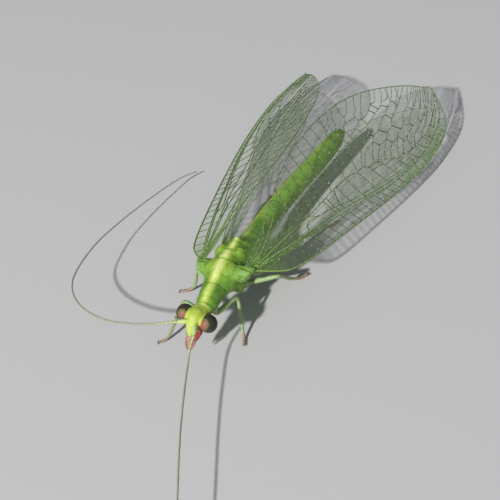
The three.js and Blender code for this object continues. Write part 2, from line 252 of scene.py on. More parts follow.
def to_mesh(name, shape):
    mesh = bpy.data.meshes.new(name)
    mesh.from_pydata([tuple(p) for p in shape.points], [], shape.faces)
    mesh.polygons.foreach_set("material_index", shape.finishes)
    mesh.polygons.foreach_set("use_smooth", [True] * len(mesh.polygons))
    for key, values in shape.marks.items():
        layer = mesh.attributes.new(key, "FLOAT", "POINT")
        layer.data.foreach_set("value", [values.get(i, 0.0) for i in range(len(shape.points))])
    if shape.uvs:
        layer = mesh.uv_layers.new(name="OFBake")
        layer.data.foreach_set("uv", [c for loop in mesh.loops for c in shape.uvs[loop.vertex_index]])
    return mesh


def outwards(mesh):
    work = bmesh.new()
    work.from_mesh(mesh)
    bmesh.ops.recalc_face_normals(work, faces=work.faces)
    work.to_mesh(mesh)
    work.free()


def placed(name, data):
    """A new object of the scene."""
    made = bpy.data.objects.new(name, data)
    bpy.context.scene.collection.objects.link(made)
    return made


def dress(name, mesh, finishes, nodes=()):
    """Set a mesh in millimetres on the frame as a piece of the model."""
    mesh.transform(PLACE)
    for look in finishes:
        mesh.materials.append(look)
    piece = placed(name, mesh)
    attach(piece, "root")
    if nodes:
        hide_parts(*nodes)


HAIR_RADIUS = 0.0055
BODY_POWER = 2.2


class Coat:
    """Fine tapered hairs, each with its own small patch where its root lies on the unwrapped surface."""

    PATCH = 0.0015
    ASIDE = Vector((0.3, 0.2, 0.93))  # crossed with a hair's way, this gives its sides

    def __init__(self, seed):
        self.shape = Shape()
        self.draw = random.Random(seed)

    def hair(self, root, way, length, radius, place, light=0.0, red=0.0):
        side = way.cross(self.ASIDE).normalized()
        other = way.cross(side)
        droop = side * self.draw.uniform(-0.12, 0.12) * length + Vector((0, 0, -0.1)) * length
        shape = self.shape
        first = len(shape.points)
        for share, size in ((0, 1.0), (0.5, 0.72)):
            middle = root + way * length * share + droop * share ** 2
            for k in range(3):
                angle = 2 * pi * k / 3
                ray = side * cos(angle) + other * sin(angle)
                shape.points.append(middle + ray * radius * size)
                u = place[0] + self.PATCH * cos(angle) * size
                v = place[1] + self.PATCH * sin(angle) * size
                shape.uvs.append((u, v))
        shape.points.append(root + way * length + droop)
        shape.uvs.append(place)
        for k in range(3):
            a = first + k
            b = first + (k + 1) % 3
            shape.faces += [(a, b, b + 3, a + 3), (a + 3, b + 3, first + 6)]
            shape.finishes += [0, 0]
        shape.mark(first, light=light, red=red)

    def dress(self, name, slot):
        self.shape.dress(name, [HAIR], slot, closed=False)


def body_ring(place, width, up, down, tilt, power, count):
    """One oval section whose top leans forwards by tilt degrees."""
    x, y, z = place
    lean = radians(tilt)
    ring = []
    for j in range(count):
        angle = 2 * pi * j / count
        across = copysign(abs(sin(angle)) ** (2 / power), sin(angle))
        rise = copysign(abs(cos(angle)) ** (2 / power), cos(angle))
        height = rise * (up if rise > 0 else down)
        ring.append(Vector((x + across * width, y - height * sin(lean), z + height * cos(lean))))
    return ring


def body_part(shape, sections, steps, matrix=Matrix(), count=40):
    """A smooth body form through sections: y, z, width, up, down and, where it leans, tilt."""
    last = len(sections) - 1
    full = [(*section, 0)[:6] for section in sections]
    curves = [profile([(i / last, section[k]) for i, section in enumerate(full)]) for k in range(6)]
    rings = []
    for i in range(steps + 1):
        y, z, width, up, down, tilt = [curve(i / steps) for curve in curves]
        rings.append([matrix @ p for p in body_ring((0, y, z), width, up, down, tilt, BODY_POWER, count)])
    shape.loft(rings)


# Materials

def node(tree, kind, inputs, **settings):
    made = tree.nodes.new(kind)
    for key, value in settings.items():
        setattr(made, key, value)
    for key, value in inputs.items():
        if isinstance(value, bpy.types.NodeSocket):
            tree.links.new(value, made.inputs[key])
        else:
            made.inputs[key].default_value = value
    return made


def mix(tree, share, a, b):
    """A blend of two colours, each given as three numbers or as a socket."""
    a, b = [tone if isinstance(tone, bpy.types.NodeSocket) else (*tone, 1.0) for tone in (a, b)]
    return node(tree, "ShaderNodeMix", {0: share, 6: a, 7: b}, data_type="RGBA").outputs[2]


def mark_value(tree, name):
    return node(tree, "ShaderNodeAttribute", {}, attribute_name=name).outputs["Fac"]


def layered(tree, base, tones):
    """The colour of each marking laid over the ones before it."""
    for name, tone in tones.items():
        base = mix(tree, mark_value(tree, name), base, tone)
    return base


def scaled(tree, value, factor, offset=0.0):
    made = node(tree, "ShaderNodeMath", {0: value, 1: factor, 2: offset}, operation="MULTIPLY_ADD")
    made.use_clamp = True
    return made.outputs[0]


def texture(tree, kind, size, **inputs):
    """A texture whose features are about this many millimetres across."""
    place = node(tree, "ShaderNodeTexCoord", {}).outputs["Object"]
    return node(tree, kind, {"Vector": place, "Scale": 1 / (size * MILLIMETRE), **inputs}).outputs


def cloud(tree, size, detail=3.0, roughness=0.55):
    return texture(tree, "ShaderNodeTexNoise", size, Detail=detail, Roughness=roughness)["Fac"]


def pebbles(tree, size):
    return texture(tree, "ShaderNodeTexVoronoi", size)["Distance"]


def relief(tree, height, depth, strength=0.5, **under):
    inputs = {"Height": height, "Distance": depth * MILLIMETRE, "Strength": strength, **under}
    return node(tree, "ShaderNodeBump", inputs).outputs["Normal"]


def finish(name, build, **sockets):
    """A material whose colour and relief are built from nodes, with constants on the shader itself."""
    made = bpy.data.materials.new(name)
    made.use_nodes = True
    tree = made.node_tree
    shader = tree.nodes["Principled BSDF"]
    for key, value in sockets.items():
        shader.inputs[key.replace("_", " ")].default_value = value
    for key, value in build(tree).items():
        tree.links.new(value, shader.inputs[key])
    return made


def skin_look(tree):
    """Translucent green, with a cream-coloured stripe down the back, a yellow head, dark seams, painted
    shade in creases and on the pronotum's sides, and painted highlights on the ridges of the wing bases.
    """
    patches = cloud(tree, 0.75, 4.0, 0.6)
    green = mix(tree, scaled(tree, patches, 3.0, -1.0), (0.065, 0.2, 0.015), (0.2, 0.37, 0.045))
    # Paler underneath and on the wing bases, with painted highlights on the ridges of the wing bases
    green = layered(tree, green, {"pale": (0.27, 0.43, 0.16)})
    green = mix(tree, scaled(tree, cloud(tree, 0.13, 2.0), 0.7, -0.25), green, (0.27, 0.48, 0.08))
    # The darkest green marks the dark seams between plates and rings, and is painted shade in creases and
    # on the pronotum's sides
    base = layered(tree, green, {
        "glow": (0.38, 0.52, 0.055), "band": (0.36, 0.41, 0.09), "stripe": (0.66, 0.73, 0.27),
        "lime": (0.43, 0.54, 0.065), "bright": (0.48, 0.57, 0.17), "red": (0.44, 0.03, 0.075),
        "brown": (0.15, 0.11, 0.035), "furrow": (0.06, 0.16, 0.015),
    })
    grain = relief(tree, pebbles(tree, 0.06), 0.008)
    return {"Base Color": base, "Normal": relief(tree, patches, 0.04, Normal=grain)}


def eye_look(tree):
    """A dark rim round a painted reflection, a coppery patch with a ring at its edge, under fine facets.
    """
    rim = mix(tree, scaled(tree, cloud(tree, 0.2), 1.0), (0.02, 0.02, 0.017), (0.06, 0.058, 0.04))
    # Coppery tones of the painted reflection, and the ring at its edge
    copper = mix(tree, scaled(tree, cloud(tree, 0.09), 2.4, -0.7), (0.36, 0.085, 0.1), (0.22, 0.13, 0.07))
    base = layered(tree, rim, {"ring": (0.26, 0.24, 0.05), "copper": copper})
    return {"Base Color": base, "Normal": relief(tree, pebbles(tree, 0.035), 0.006, 0.7)}


def film_look(tree):
    """Clear, faintly green film that is opaque green at the wing's stigma."""
    patches = cloud(tree, 1.6)
    clear = mix(tree, scaled(tree, patches, 1.6, -0.3), (0.2, 0.26, 0.13), (0.29, 0.34, 0.2))
    base = layered(tree, clear, {"stigma": (0.11, 0.24, 0.04)})
    thin = scaled(tree, patches, 0.08, 0.07)
    cover = node(tree, "ShaderNodeMath", {0: thin, 1: mark_value(tree, "cover")}, operation="ADD")
    cover.use_clamp = True
    waves = relief(tree, cloud(tree, 0.7, 1.0), 0.08, 0.6)
    return {"Base Color": base, "Alpha": cover.outputs[0], "Normal": waves}


def hair_look(tree):
    tone = mix(tree, cloud(tree, 0.3), (0.2, 0.34, 0.09), (0.38, 0.48, 0.2))
    # Hairs paler where the skin is pale, whitish as painted glints on the wings' veins, and red on the red
    # cheeks
    return {"Base Color": layered(tree, tone, {"light": (0.84, 0.88, 0.64), "red": (0.5, 0.12, 0.14)})}


def plain_look(size, dark, light, tones, grain, contrast=1.6):
    """A look with patches from dark to light, the markings over them and a fine grain."""

    def build(tree):
        share = scaled(tree, cloud(tree, size), contrast, (1 - contrast) / 2)
        texture_kind, grain_size, depth = grain
        base = layered(tree, mix(tree, share, dark, light), tones)
        return {"Base Color": base, "Normal": relief(tree, texture_kind(tree, grain_size), depth)}

    return build


flesh = {
    "Subsurface_Weight": 0.25,
    "Subsurface_Scale": 0.35 * MILLIMETRE,
    "Subsurface_Radius": (0.8, 1.0, 0.3),
}
SKIN = finish("lacewing_skin", skin_look, Roughness=0.55, Specular_IOR_Level=0.28, **flesh)
EYE = finish("lacewing_eye", eye_look, Roughness=0.5, Specular_IOR_Level=0.3)
leg_tones = {"brown": (0.3, 0.19, 0.13), "dark": (0.05, 0.035, 0.03)}
leg_look = plain_look(0.25, (0.24, 0.37, 0.14), (0.37, 0.48, 0.24), leg_tones, (pebbles, 0.04, 0.006))
LEG = finish("lacewing_leg", leg_look, Roughness=0.45, **flesh)
mouth_tones = {"red": (0.3, 0.06, 0.06)}
mouth_look = plain_look(0.15, (0.3, 0.16, 0.12), (0.5, 0.36, 0.3), mouth_tones, (pebbles, 0.04, 0.005))
MOUTH = finish("lacewing_mouthparts", mouth_look, Roughness=0.42, **flesh)
antenna_tones = {"green": (0.44, 0.56, 0.2), "dark": (0.17, 0.15, 0.1)}
antenna_look = plain_look(0.4, (0.3, 0.28, 0.21), (0.42, 0.4, 0.32), antenna_tones, (pebbles, 0.03, 0.004))
ANTENNA = finish("lacewing_antenna", antenna_look, Roughness=0.55)
vein_tones = {"faint": (0.2, 0.26, 0.15), "lime": (0.22, 0.37, 0.07), "dark": (0.018, 0.032, 0.015)}
vein_look = plain_look(0.8, (0.09, 0.17, 0.045), (0.17, 0.26, 0.09), vein_tones, (cloud, 0.06, 0.006), 2.0)
VEIN = finish("lacewing_vein", vein_look, Roughness=0.4)
FILM = finish("lacewing_film", film_look, Roughness=0.34, Specular_IOR_Level=0.35)
HAIR = finish("lacewing_setae", hair_look, Roughness=0.4)


# Wings, on the surfaces that the solids have

FOREWING_LENGTH = 14.8
HINDWING_LENGTH = 12.9
WING_SPACING = 0.95
WING_TIP_SPACING = 0.72
HINDWING_LIFT = 0.1  # the film lies this far above the middle of its solid, nearer to the forewing
HINDWING_TURN = radians(1.5)
HINDWING_ROOT = (0.1, 1.45)
# Each wing pair's root, spread, slope and pitch in degrees, camber, and droop of the tip
POSES = {
    "left": ((1.13, -0.16, 3.24), 18.9, 28.9, 2.4, 0.3, 0),
    "right": ((1.06, 0.05, 2.94), 12.8, 29.8, 2.6, 0.2, 0.75),
}
FOREWING_FRONT = profile([
    (0, 0.024), (0.05, 0.07), (0.1, 0.104), (0.18, 0.119), (0.35, 0.128), (0.55, 0.136), (0.7, 0.134),
    (0.8, 0.12), (0.88, 0.098), (0.94, 0.059), (0.98, -0.009), (1, -0.058),
])
FOREWING_HIND = profile([
    (0, 0.006), (0.1, -0.034), (0.2, -0.09), (0.3, -0.145), (0.4, -0.187), (0.5, -0.212), (0.6, -0.227),
    (0.7, -0.228), (0.8, -0.205), (0.88, -0.164), (0.94, -0.124), (0.98, -0.085), (1, -0.07),
])
HINDWING_FRONT = profile([
    (0, 0.02), (0.06, 0.04), (0.2, 0.052), (0.45, 0.072), (0.68, 0.082), (0.84, 0.062),
    (0.94, 0.02), (0.98, -0.02), (1, -0.05),
])
HINDWING_HIND = profile([
    (0, -0.005), (0.1, -0.03), (0.2, -0.066), (0.32, -0.118), (0.46, -0.17), (0.62, -0.19),
    (0.78, -0.162), (0.9, -0.112), (0.97, -0.075), (1, -0.06),
])


def wing_surface(side, pose, hind):
    """The function from a place on a wing to its point in the animal's own axes."""
    root, spread, slope, pitch, camber, droop = pose
    matrix = (
        Matrix.Translation(on_side(side, root))
        @ Matrix.Rotation(radians(pitch), 4, "X")
        @ Matrix.Rotation(radians(side * slope), 4, "Y")
        @ Matrix.Rotation(radians(-side * spread), 4, "Z")
    )

    def at(along, out):
        drop = 0.0
        if hind:
            drop = HINDWING_LIFT - lerp(WING_SPACING, WING_TIP_SPACING, ramp(along, 8, 13))
            out, along = (
                HINDWING_ROOT[0] + out * cos(HINDWING_TURN) + along * sin(HINDWING_TURN),
                HINDWING_ROOT[1] + along * cos(HINDWING_TURN) - out * sin(HINDWING_TURN),
            )
        arch = 1 - ((out + 0.9) / 2.9) ** 2
        rise = camber * arch * ramp(along, 0, 5) - droop * (along / FOREWING_LENGTH) ** 2
        return matrix @ Vector((side * out, along, rise + drop))

    return at


# Body: one skin over head, thorax and abdomen

HEAD_YAW = -6
HEAD_ROLL = 12
HEAD = (
    Matrix.Translation((-0.06, -2.96, 2.5))
    @ Matrix.Rotation(radians(HEAD_YAW), 4, "Z")
    @ Matrix.Rotation(radians(HEAD_ROLL), 4, "Y")
)
FROM_HEAD = HEAD.inverted()
EYE_PLACE = (0.61, -0.03, 0)
SOCKET = (0.19, -0.42, 0.14)
NECK_Y = -2.4
WAIST_Y = 1.9
ABDOMEN_PATH = [
    (0, 1.95, 2.3), (-0.07, 3.1, 1.96), (0.04, 4.8, 1.79), (0.33, 6.7, 1.75),
    (0.66, 8.2, 1.75), (0.97, 9.6, 1.83), (1.17, 10.5, 1.93),
]
ABDOMEN_RINGS = 9
abdomen_x = profile([(y, x) for x, y, z in ABDOMEN_PATH])
abdomen_z = profile([(y, z) for x, y, z in ABDOMEN_PATH])
abdomen_girth = profile([(0, 0.44), (0.1, 0.49), (0.4, 0.52), (0.75, 0.5), (0.93, 0.42), (1, 0.22)])
stripe_width = profile([(-2.4, 0.1), (-1.3, 0.12), (-0.6, 0.18), (0.3, 0.16), (1.0, 0.11), (1.9, 0.09)])
THORAX_SEAMS = (-2.3, -1.32, -0.02, 0.62, 1.16, 1.62)
VOXEL = 0.03
SKIN_MARKS = ("stripe", "band", "lime", "bright", "glow", "red", "brown", "furrow", "pale")


def head_forms(shape):
    sections = [
        (0.46, 0.1, 0.34, 0.26, 0.26, 0), (0.28, 0.06, 0.42, 0.35, 0.36, 5),
        (0.05, 0, 0.41, 0.45, 0.46, 14), (-0.22, -0.14, 0.37, 0.44, 0.4, 32),
        (-0.42, -0.4, 0.29, 0.36, 0.32, 48), (-0.58, -0.66, 0.2, 0.24, 0.24, 54),
    ]
    body_part(shape, sections, 24, HEAD)
    pairs = (
        # The cup that each eye sits in, and the cheek under it
        ((0.42, -0.03, 0), (0.24, 0.36, 0.38)),
        ((0.25, -0.33, -0.42), (0.17, 0.2, 0.32)),
        ((0.2, -0.5, -0.66), (0.13, 0.15, 0.28)),
        ((0.15, -0.64, -0.84), (0.09, 0.11, 0.22)),
        # The socket that the antenna stands in
        (SOCKET, (0.13, 0.12, 0.12)),
    )
    blobs = [(on_side(side, middle), radii) for side in SIDES.values() for middle, radii in pairs]
    blobs += [(Vector((0, 0, 0.28)), (0.32, 0.4, 0.2)), (Vector((0, -0.6, -0.42)), (0.15, 0.12, 0.3))]
    for middle, radii in blobs:
        shape.blob(HEAD @ middle, radii, HEAD.to_3x3())


def thorax_forms(shape):
    sections = [
        (-2.75, 2.5, 0.34, 0.3, 0.26), (-2.45, 2.5, 0.44, 0.34, 0.32), (-2.26, 2.5, 0.48, 0.36, 0.34),
        (-2.05, 2.52, 0.52, 0.4, 0.38), (-1.75, 2.55, 0.56, 0.44, 0.4), (-1.4, 2.56, 0.6, 0.47, 0.42),
        (-1.15, 2.57, 0.67, 0.5, 0.48), (-0.85, 2.52, 0.76, 0.65, 0.62), (-0.4, 2.4, 0.82, 0.88, 0.9),
        (0.05, 2.36, 0.83, 0.94, 0.98), (0.42, 2.36, 0.74, 0.86, 0.82), (0.75, 2.36, 0.66, 0.84, 0.78),
        (1.0, 2.36, 0.6, 0.86, 0.82), (1.35, 2.38, 0.53, 0.76, 0.72), (1.7, 2.4, 0.43, 0.48, 0.5),
        (2.0, 2.32, 0.43, 0.43, 0.45), (2.3, 2.24, 0.45, 0.44, 0.46),
    ]
    body_part(shape, sections, 80)
    pairs = (
        # Domed plates of the back, front pair and hind pair
        ((0.4, -0.4, 2.92), (0.4, 0.5, 0.34)),
        ((0.44, 0.6, 2.87), (0.42, 0.44, 0.4)),
        ((0.34, 1.15, 2.74), (0.34, 0.42, 0.34)),
        # Side plates over the legs
        ((0.5, -0.25, 2.1), (0.36, 0.42, 0.7)),
        ((0.4, 0.95, 2.1), (0.3, 0.36, 0.66)),
    )
    for name, side in SIDES.items():
        # Each wing's fleshy base, from the thorax out along the wing's main stems
        for hind, inner, girth in ((False, (0.5, -0.42, 2.74), 0.36), (True, (0.4, 0.95, 2.62), 0.3)):
            root = wing_surface(side, POSES[name], hind)
            normal = (root(1, 0.3) - root(0, 0.3)).cross(root(0, 1) - root(0, 0))
            line = smooth_line([on_side(side, inner), root(-0.12, 0.3), root(0.45, 0.42), root(1.15, 0.5)])
            taper = profile([(0, girth), (0.35, 0.8 * girth), (0.65, 0.42 * girth), (1, 0.1)])
            shape.tube(line, taper, 20, flat=0.5, up=normal)
            base = line[0].lerp(line[len(line) // 3], 0.6) - Vector((0, 0, 0.06))
            shape.blob(base, (0.5, 1.3 * girth, 0.34))
        for middle, radii in pairs:
            shape.blob(on_side(side, middle), radii)
    shape.blob((0, -0.75, 2.98), (0.28, 0.34, 0.22))
    shape.blob((0, 0.26, 3.17), (0.24, 0.42, 0.15))
    shape.blob((0, 1.28, 3.12), (0.17, 0.2, 0.14))


def abdomen_forms(shape):
    line = resample(smooth_line(ABDOMEN_PATH), 0.08)
    rings = []
    for i, middle in enumerate(line):
        radius = abdomen_girth(i / (len(line) - 1)) * 0.99
        rings.append(body_ring(middle, radius * 0.96, radius, radius * 1.02, 0, 2.15, 40))
    shape.loft(rings)
    tip = line[-1]
    shape.blob((tip.x, tip.y - 0.1, tip.z - 0.02), (0.22, 0.2, 0.24))


def merged(shape, voxel, rounds):
    """The outer surface of all forms at once, smoothed."""
    mesh = to_mesh("forms", shape)
    outwards(mesh)
    holder = placed("forms", mesh)
    remesh = holder.modifiers.new("remesh", "REMESH")
    remesh.mode = "VOXEL"
    remesh.voxel_size = voxel
    smooth = holder.modifiers.new("smooth", "SMOOTH")
    smooth.factor = 0.5
    smooth.iterations = rounds
    depsgraph = bpy.context.evaluated_depsgraph_get()
    result = bpy.data.meshes.new_from_object(holder.evaluated_get(depsgraph))
    bpy.data.objects.remove(holder)
    return result


def soften(mesh, chosen, rounds):
    """Blend the forms into each other where the skin has no sharp folds."""
    work = bmesh.new()
    work.from_mesh(mesh)
    points = [v for v in work.verts if chosen(v.co)]
    axes = {"use_axis_x": True, "use_axis_y": True, "use_axis_z": True}
    for _ in range(rounds):
        bmesh.ops.smooth_vert(work, verts=points, factor=0.5, **axes)
    work.to_mesh(mesh)
    work.free()


def abdomen_share(y):
    front = ABDOMEN_PATH[0][1]
    return (y - front) / (ABDOMEN_PATH[-1][1] - front)


def head_marks(p, n, top, wobble):
    q = FROM_HEAD @ p
    out = abs(q.x)
    lime = ramp(q.z - 0.5 * q.y, -0.25, 0.1) * fall(p.y, -2.62, NECK_Y)
    edge = lerp(0.16, 0.08, ramp(-q.z, 0.3, 0.8))
    above = q.z + wobble - 0.9 * max(out - 0.2, 0)
    cheek = ramp(out + wobble, edge, edge + 0.09) * fall(above, -0.26, -0.1)
    eye_gap = (q - on_side(copysign(1, q.x), EYE_PLACE)).length
    under_eye = fall(eye_gap, 0.44, 0.53) * fall(q.z, 0.02, 0.16)
    cross_groove = bump(q.z, -0.5, 0.025) * (q.y < -0.3)
    suture = min(cross_groove + bump(out, 0.13, 0.02) * (q.z < -0.25) * (q.y < -0.2), 1.0)
    marks = {
        "lime": lime,
        "stripe": 0.75 * top * bump(q.x, 0, 0.13) * ramp(q.y, 0.0, 0.45),
        "bright": 0.8 * bump(q.x, 0, 0.16) * ramp(-q.y, 0.15, 0.35) * ramp(q.z, -0.75, -0.4),
        "glow": top * (1 - lime) * fall(out, 0.16, 0.42),
        "red": max(
            cheek * ramp(-q.y, -0.04, 0.2) * (0.85 + 0.4 * noise(p * 7.0)),
            0.9 * under_eye * ramp(-q.y, -0.1, 0.1),
            bump(q.y, 0.3, 0.12) * ramp(out, 0.34, 0.42) * (q.z > -0.1),
        ),
        "furrow": 0.2 * bump(q.y + 0.3 * q.z, 0.3, 0.05) * top,
        "brown": 0.35 * suture * fall(out, 0.15, 0.2),
    }
    return marks, -0.014 * suture


def thorax_marks(p, n, top, wobble):
    out = abs(p.x)
    half = stripe_width(p.y)
    gap = abs(p.x + wobble)
    stripe = 0.95 * top * fall(gap, 0.1 * half, 1.7 * half)
    stripe *= lerp(0.7, 1, ramp(p.y, -1.5, -1.0))
    glow = max(
        0.9 * top * fall(gap, 0.9 * half, 2.8 * half),
        0.55 * top * bump(p.y, -0.3, 0.3) * bump(out, 0.52, 0.2),
        0.85 * top * bump(p.y, 0.6, 0.2) * bump(out, 0.5, 0.18),
    )
    # Painted shade darkens the pronotum's sides
    furrow = 0.42 * ramp(gap, 0.2, 0.42) * bump(p.y, -1.85, 0.55)
    move = 0.0
    for seam in THORAX_SEAMS:
        stripe *= 1 - 0.5 * bump(p.y, seam, 0.07)
        furrow = max(furrow, 0.35 * bump(p.y, seam, 0.045) * (1 - stripe))
        move -= 0.018 * bump(p.y, seam, 0.05)
    brown = 0.0
    if p.z > 2.6:
        # The rim of an oval plate on each side, darkened in its groove as painted shade, and the brown
        # hollow round the next
        far = hypot((abs(p.x + 0.03) - 0.45) / 0.36, (p.y + 0.38) / 0.46)
        rim = bump(far, 1, 0.13) * top * (-1.0 < p.y < 0.25)
        furrow = max(furrow, 0.3 * rim * (1 - stripe))
        hollow = bump(hypot(out - 0.5, p.y - 0.6), 0.42, 0.09) * ramp(out, 0.22, 0.4)
        brown = 0.4 * hollow * top * (p.y > 0.2)
        move -= 0.02 * rim
    move -= 0.012 * bump(p.y, -1.95, 0.06) * top
    far_out = ramp(out, 0.7, 1.2)
    # On the far wing bases: painted shade in the creases, which are pressed in, and painted highlight on
    # the ridges between them
    crease = noise(Vector((p.x * 2.2, p.y * 6.5, p.z * 4.0)))
    furrow = max(furrow, 0.4 * far_out * ramp(-crease, 0.02, 0.35))
    move -= 0.045 * far_out * ramp(-crease, -0.1, 0.35)
    brown += 0.65 * bump(out, 0.45, 0.07) * bump(p.y, -1.6, 0.1) * (p.z > 2.4)
    flecks = ramp(noise(p * 4.5), 0.15, 0.5)
    brown += 0.45 * flecks * bump(p.y, -1.6, 0.5) * top * (gap > 0.25)
    # Paler underneath; on the far wing bases paler still on the ridges, as a painted highlight
    pale = max(0.6 * fall(n.z, -0.7, -0.1), far_out * (0.26 + 0.5 * crease))
    return {"stripe": stripe, "glow": glow, "furrow": furrow, "brown": brown, "pale": pale}, move


def abdomen_marks(p, n, top, wobble):
    cross = p.x - abdomen_x(p.y)
    share = abdomen_share(p.y)
    ring = share * ABDOMEN_RINGS
    edge = abs(ring - round(ring)) if 0.5 < ring < ABDOMEN_RINGS - 0.5 else 0.5
    side_fold = bump(p.z - abdomen_z(p.y), -0.1, 0.07) * ramp(abs(n.x), 0.6, 0.9)
    band = ramp(-cross + wobble, 0.02, 0.24) * ramp(n.z, -0.3, 0.2)
    marks = {
        "band": band * lerp(0.9, 0.45, share),
        "brown": 0.3 * top * ramp(share, 0.8, 1.0),
        "furrow": 0.14 * bump(edge, 0, 0.06),
        "pale": max(0.5 * side_fold, 0.5 * fall(n.z, -0.8, -0.2)),
        "stripe": 0.5 * top * bump(cross, 0, 0.1) * fall(p.y, WAIST_Y, 3.2),
    }
    return marks, -0.016 * bump(edge, 0, 0.07) - 0.025 * side_fold


def skin_marks(p, n):
    """How each marking shows at a point of the body, and how far the point moves out, in millimetres."""
    region = head_marks if p.y < NECK_Y else thorax_marks if p.y < WAIST_Y else abdomen_marks
    return region(p, n, ramp(n.z, 0.1, 0.7), 0.04 * noise(p * 3.0))


def grow_body_coat(mesh, light_and_red):
    """Short setae that lean to the tail, shorter and more upright on the head."""
    coat = Coat(5)
    wanted = 3200
    for index in coat.draw.sample(range(len(mesh.polygons)), min(wanted, len(mesh.polygons))):
        face = mesh.polygons[index]
        root = face.center
        head = root.y < NECK_Y
        length = coat.draw.uniform(0.05, 0.09) if head else coat.draw.uniform(0.09, 0.17)
        lean = Vector((coat.draw.uniform(-0.4, 0.4), 0.9, coat.draw.uniform(-0.3, 0.3)))
        way = (face.normal * 0.9 + lean * (0.6 if head else 0.9)).normalized()
        middle = abdomen_x(max(root.y, ABDOMEN_PATH[0][1]))
        around = atan2(root.x - middle, root.z - 2.2) / (2 * pi) + 0.5
        light, red = light_and_red[face.vertices[0]]
        place = (0.01 + 0.97 * (root.y + 4.2) / 15.2, 0.01 + 0.97 * around)
        coat.hair(root - face.normal * 0.01, way, length, HAIR_RADIUS, place, min(light, 1), red)
    coat.dress("body_setae", "green")


def build_skin():
    forms = Shape()
    head_forms(forms)
    thorax_forms(forms)
    abdomen_forms(forms)
    mesh = merged(forms, VOXEL, 5)
    # The back and wing bases, the wing bases again, the face, and the hind part of the back
    soften(mesh, lambda p: p.y > -1.35 and (p.y < WAIST_Y or abs(p.x) > 0.6), 10)
    soften(mesh, lambda p: -1.2 < p.y < WAIST_Y and abs(p.x) > 0.45, 34)
    soften(mesh, lambda p: p.y < -3.1 and p.z < 2.3, 6)
    soften(mesh, lambda p: 0.2 < p.y < 1.7 and p.z > 2.6, 16)
    mesh.polygons.foreach_set("use_smooth", [True] * len(mesh.polygons))
    values = {key: [] for key in SKIN_MARKS}
    tints = []
    moved = []
    for vertex in mesh.vertices:
        marks, move = skin_marks(vertex.co, vertex.normal)
        tints.append((marks.get("stripe", 0.0) + marks.get("lime", 0.0), marks.get("red", 0.0)))
        for key in SKIN_MARKS:
            values[key].append(marks.get(key, 0.0))
        moved.append(vertex.co + vertex.normal * move)
    for vertex, place in zip(mesh.vertices, moved):
        vertex.co = place
    for key, column in values.items():
        mesh.attributes.new(key, "FLOAT", "POINT").data.foreach_set("value", column)
    grow_body_coat(mesh, tints)
    nodes = ("head", "prothorax", "mesothorax", "metathorax", "abdomen")
    dress("body_skin", mesh, [SKIN], nodes)


build_skin()


# Eyes

EYE_RADII = (0.4, 0.4, 0.43)
for side_name, side in SIDES.items():
    eye = Shape()
    eye.blob((0, 0, 0), EYE_RADII, rings=40, count=64)
    # Painted reflection: a coppery patch with a ring at its edge, on the part of each eye that faces
    # forwards and up, towards the camera
    edge = 0.83 if side > 0 else 0.87
    patch = Vector((-0.17 * side, -0.73, 0.64)).normalized()
    nearness = [point.normalized().dot(patch) + 0.08 * noise(point * 12) for point in eye.points]
    eye.mark(
        0,
        copper=lambda i: 0.95 * ramp(nearness[i], edge, edge + 0.09),
        ring=lambda i: 0.7 * bump(nearness[i], edge - 0.01, 0.045),
    )
    eye.points = [HEAD @ (point + on_side(side, EYE_PLACE)) for point in eye.points]
    eye.dress(f"eye_{side_name}_ball", [EYE], "eye", (f"eye_{side_name}",))


# Mouthparts: upper lip, jaws and two pairs of jointed palps

LIP_AND_JAWS = [
    (-0.58, -0.66, 0.21, 0.17, 0.19, 54), (-0.68, -0.84, 0.19, 0.16, 0.18, 55),
    (-0.8, -1.02, 0.14, 0.13, 0.15, 58), (-0.9, -1.22, 0.05, 0.05, 0.07, 60),
]
PALPS = (
    ([(0.17, -0.6, -0.74), (0.22, -0.74, -0.9), (0.17, -0.88, -1.08), (0.06, -0.97, -1.3)], 0.06),
    ([(0.07, -0.56, -0.9), (0.11, -0.68, -1.06), (0.05, -0.84, -1.22)], 0.045),
)


def build_mouth():
    shape = Shape()
    body_part(shape, LIP_AND_JAWS, 14, HEAD, 28)
    shape.mark(0, red=0.15)
    for side in SIDES.values():
        for joints, radius in PALPS:
            line = resample(smooth_line([HEAD @ on_side(side, place) for place in joints]), 0.03)

            def width(t):
                waist = bump((t * len(joints)) % 1.0, 0.0, 0.12)
                return radius * (1 - 0.35 * t) * (1 - 0.3 * waist)

            shape.mark(shape.tube(line, width, 12), red=0.45)
    shape.dress("mouthparts_fine", [MOUTH], "red", ("mouthparts",))


build_mouth()


# Legs: hip, its bend, knee, ankle and toe, as the solids have them

LEGS = {
    "foreleg_left": [
        (0.2, -2.0, 2.1), (0.24, -2.12, 1.86), (0.72, -0.85, 1.78), (0.98, -1.65, 0.42), (1.23, -2.16),
    ],
    "foreleg_right": [
        (-0.45, -1.93, 1.88), (-0.95, -1.88, 1.45), (-1.6, -1.8, 1.95), (-2.35, -2.78, 0.4),
        (-2.86, -3.15),
    ],
    "midleg_left": [(0.5, 0.1, 1.5), (0.64, 0.4, 1.34), (2.06, 0.8, 1.7), (1.86, 1.75, 0.4), (2.38, 2.46)],
    "midleg_right": [
        (-0.52, -0.1, 1.1), (-1, -0.1, 0.92), (-1.85, 0.02, 2), (-2.6, 0.2, 0.4), (-3.4, -0.05),
    ],
    "hindleg_left": [(0.4, 1.1, 1.22), (0.6, 1.4, 0.9), (1.32, 3.2, 1), (2.02, 5.3, 0.38), (2.42, 6.05)],
    "hindleg_right": [
        (-0.4, 1.1, 1.22), (-0.6, 1.4, 0.9), (-1.28, 3.4, 0.96), (-1.68, 6.15, 0.38), (-1.8, 7),
    ],
}
FOOT_HEIGHT = 0.09
FLOOR_GAP = 0.004
TARSUS_BEADS = 5


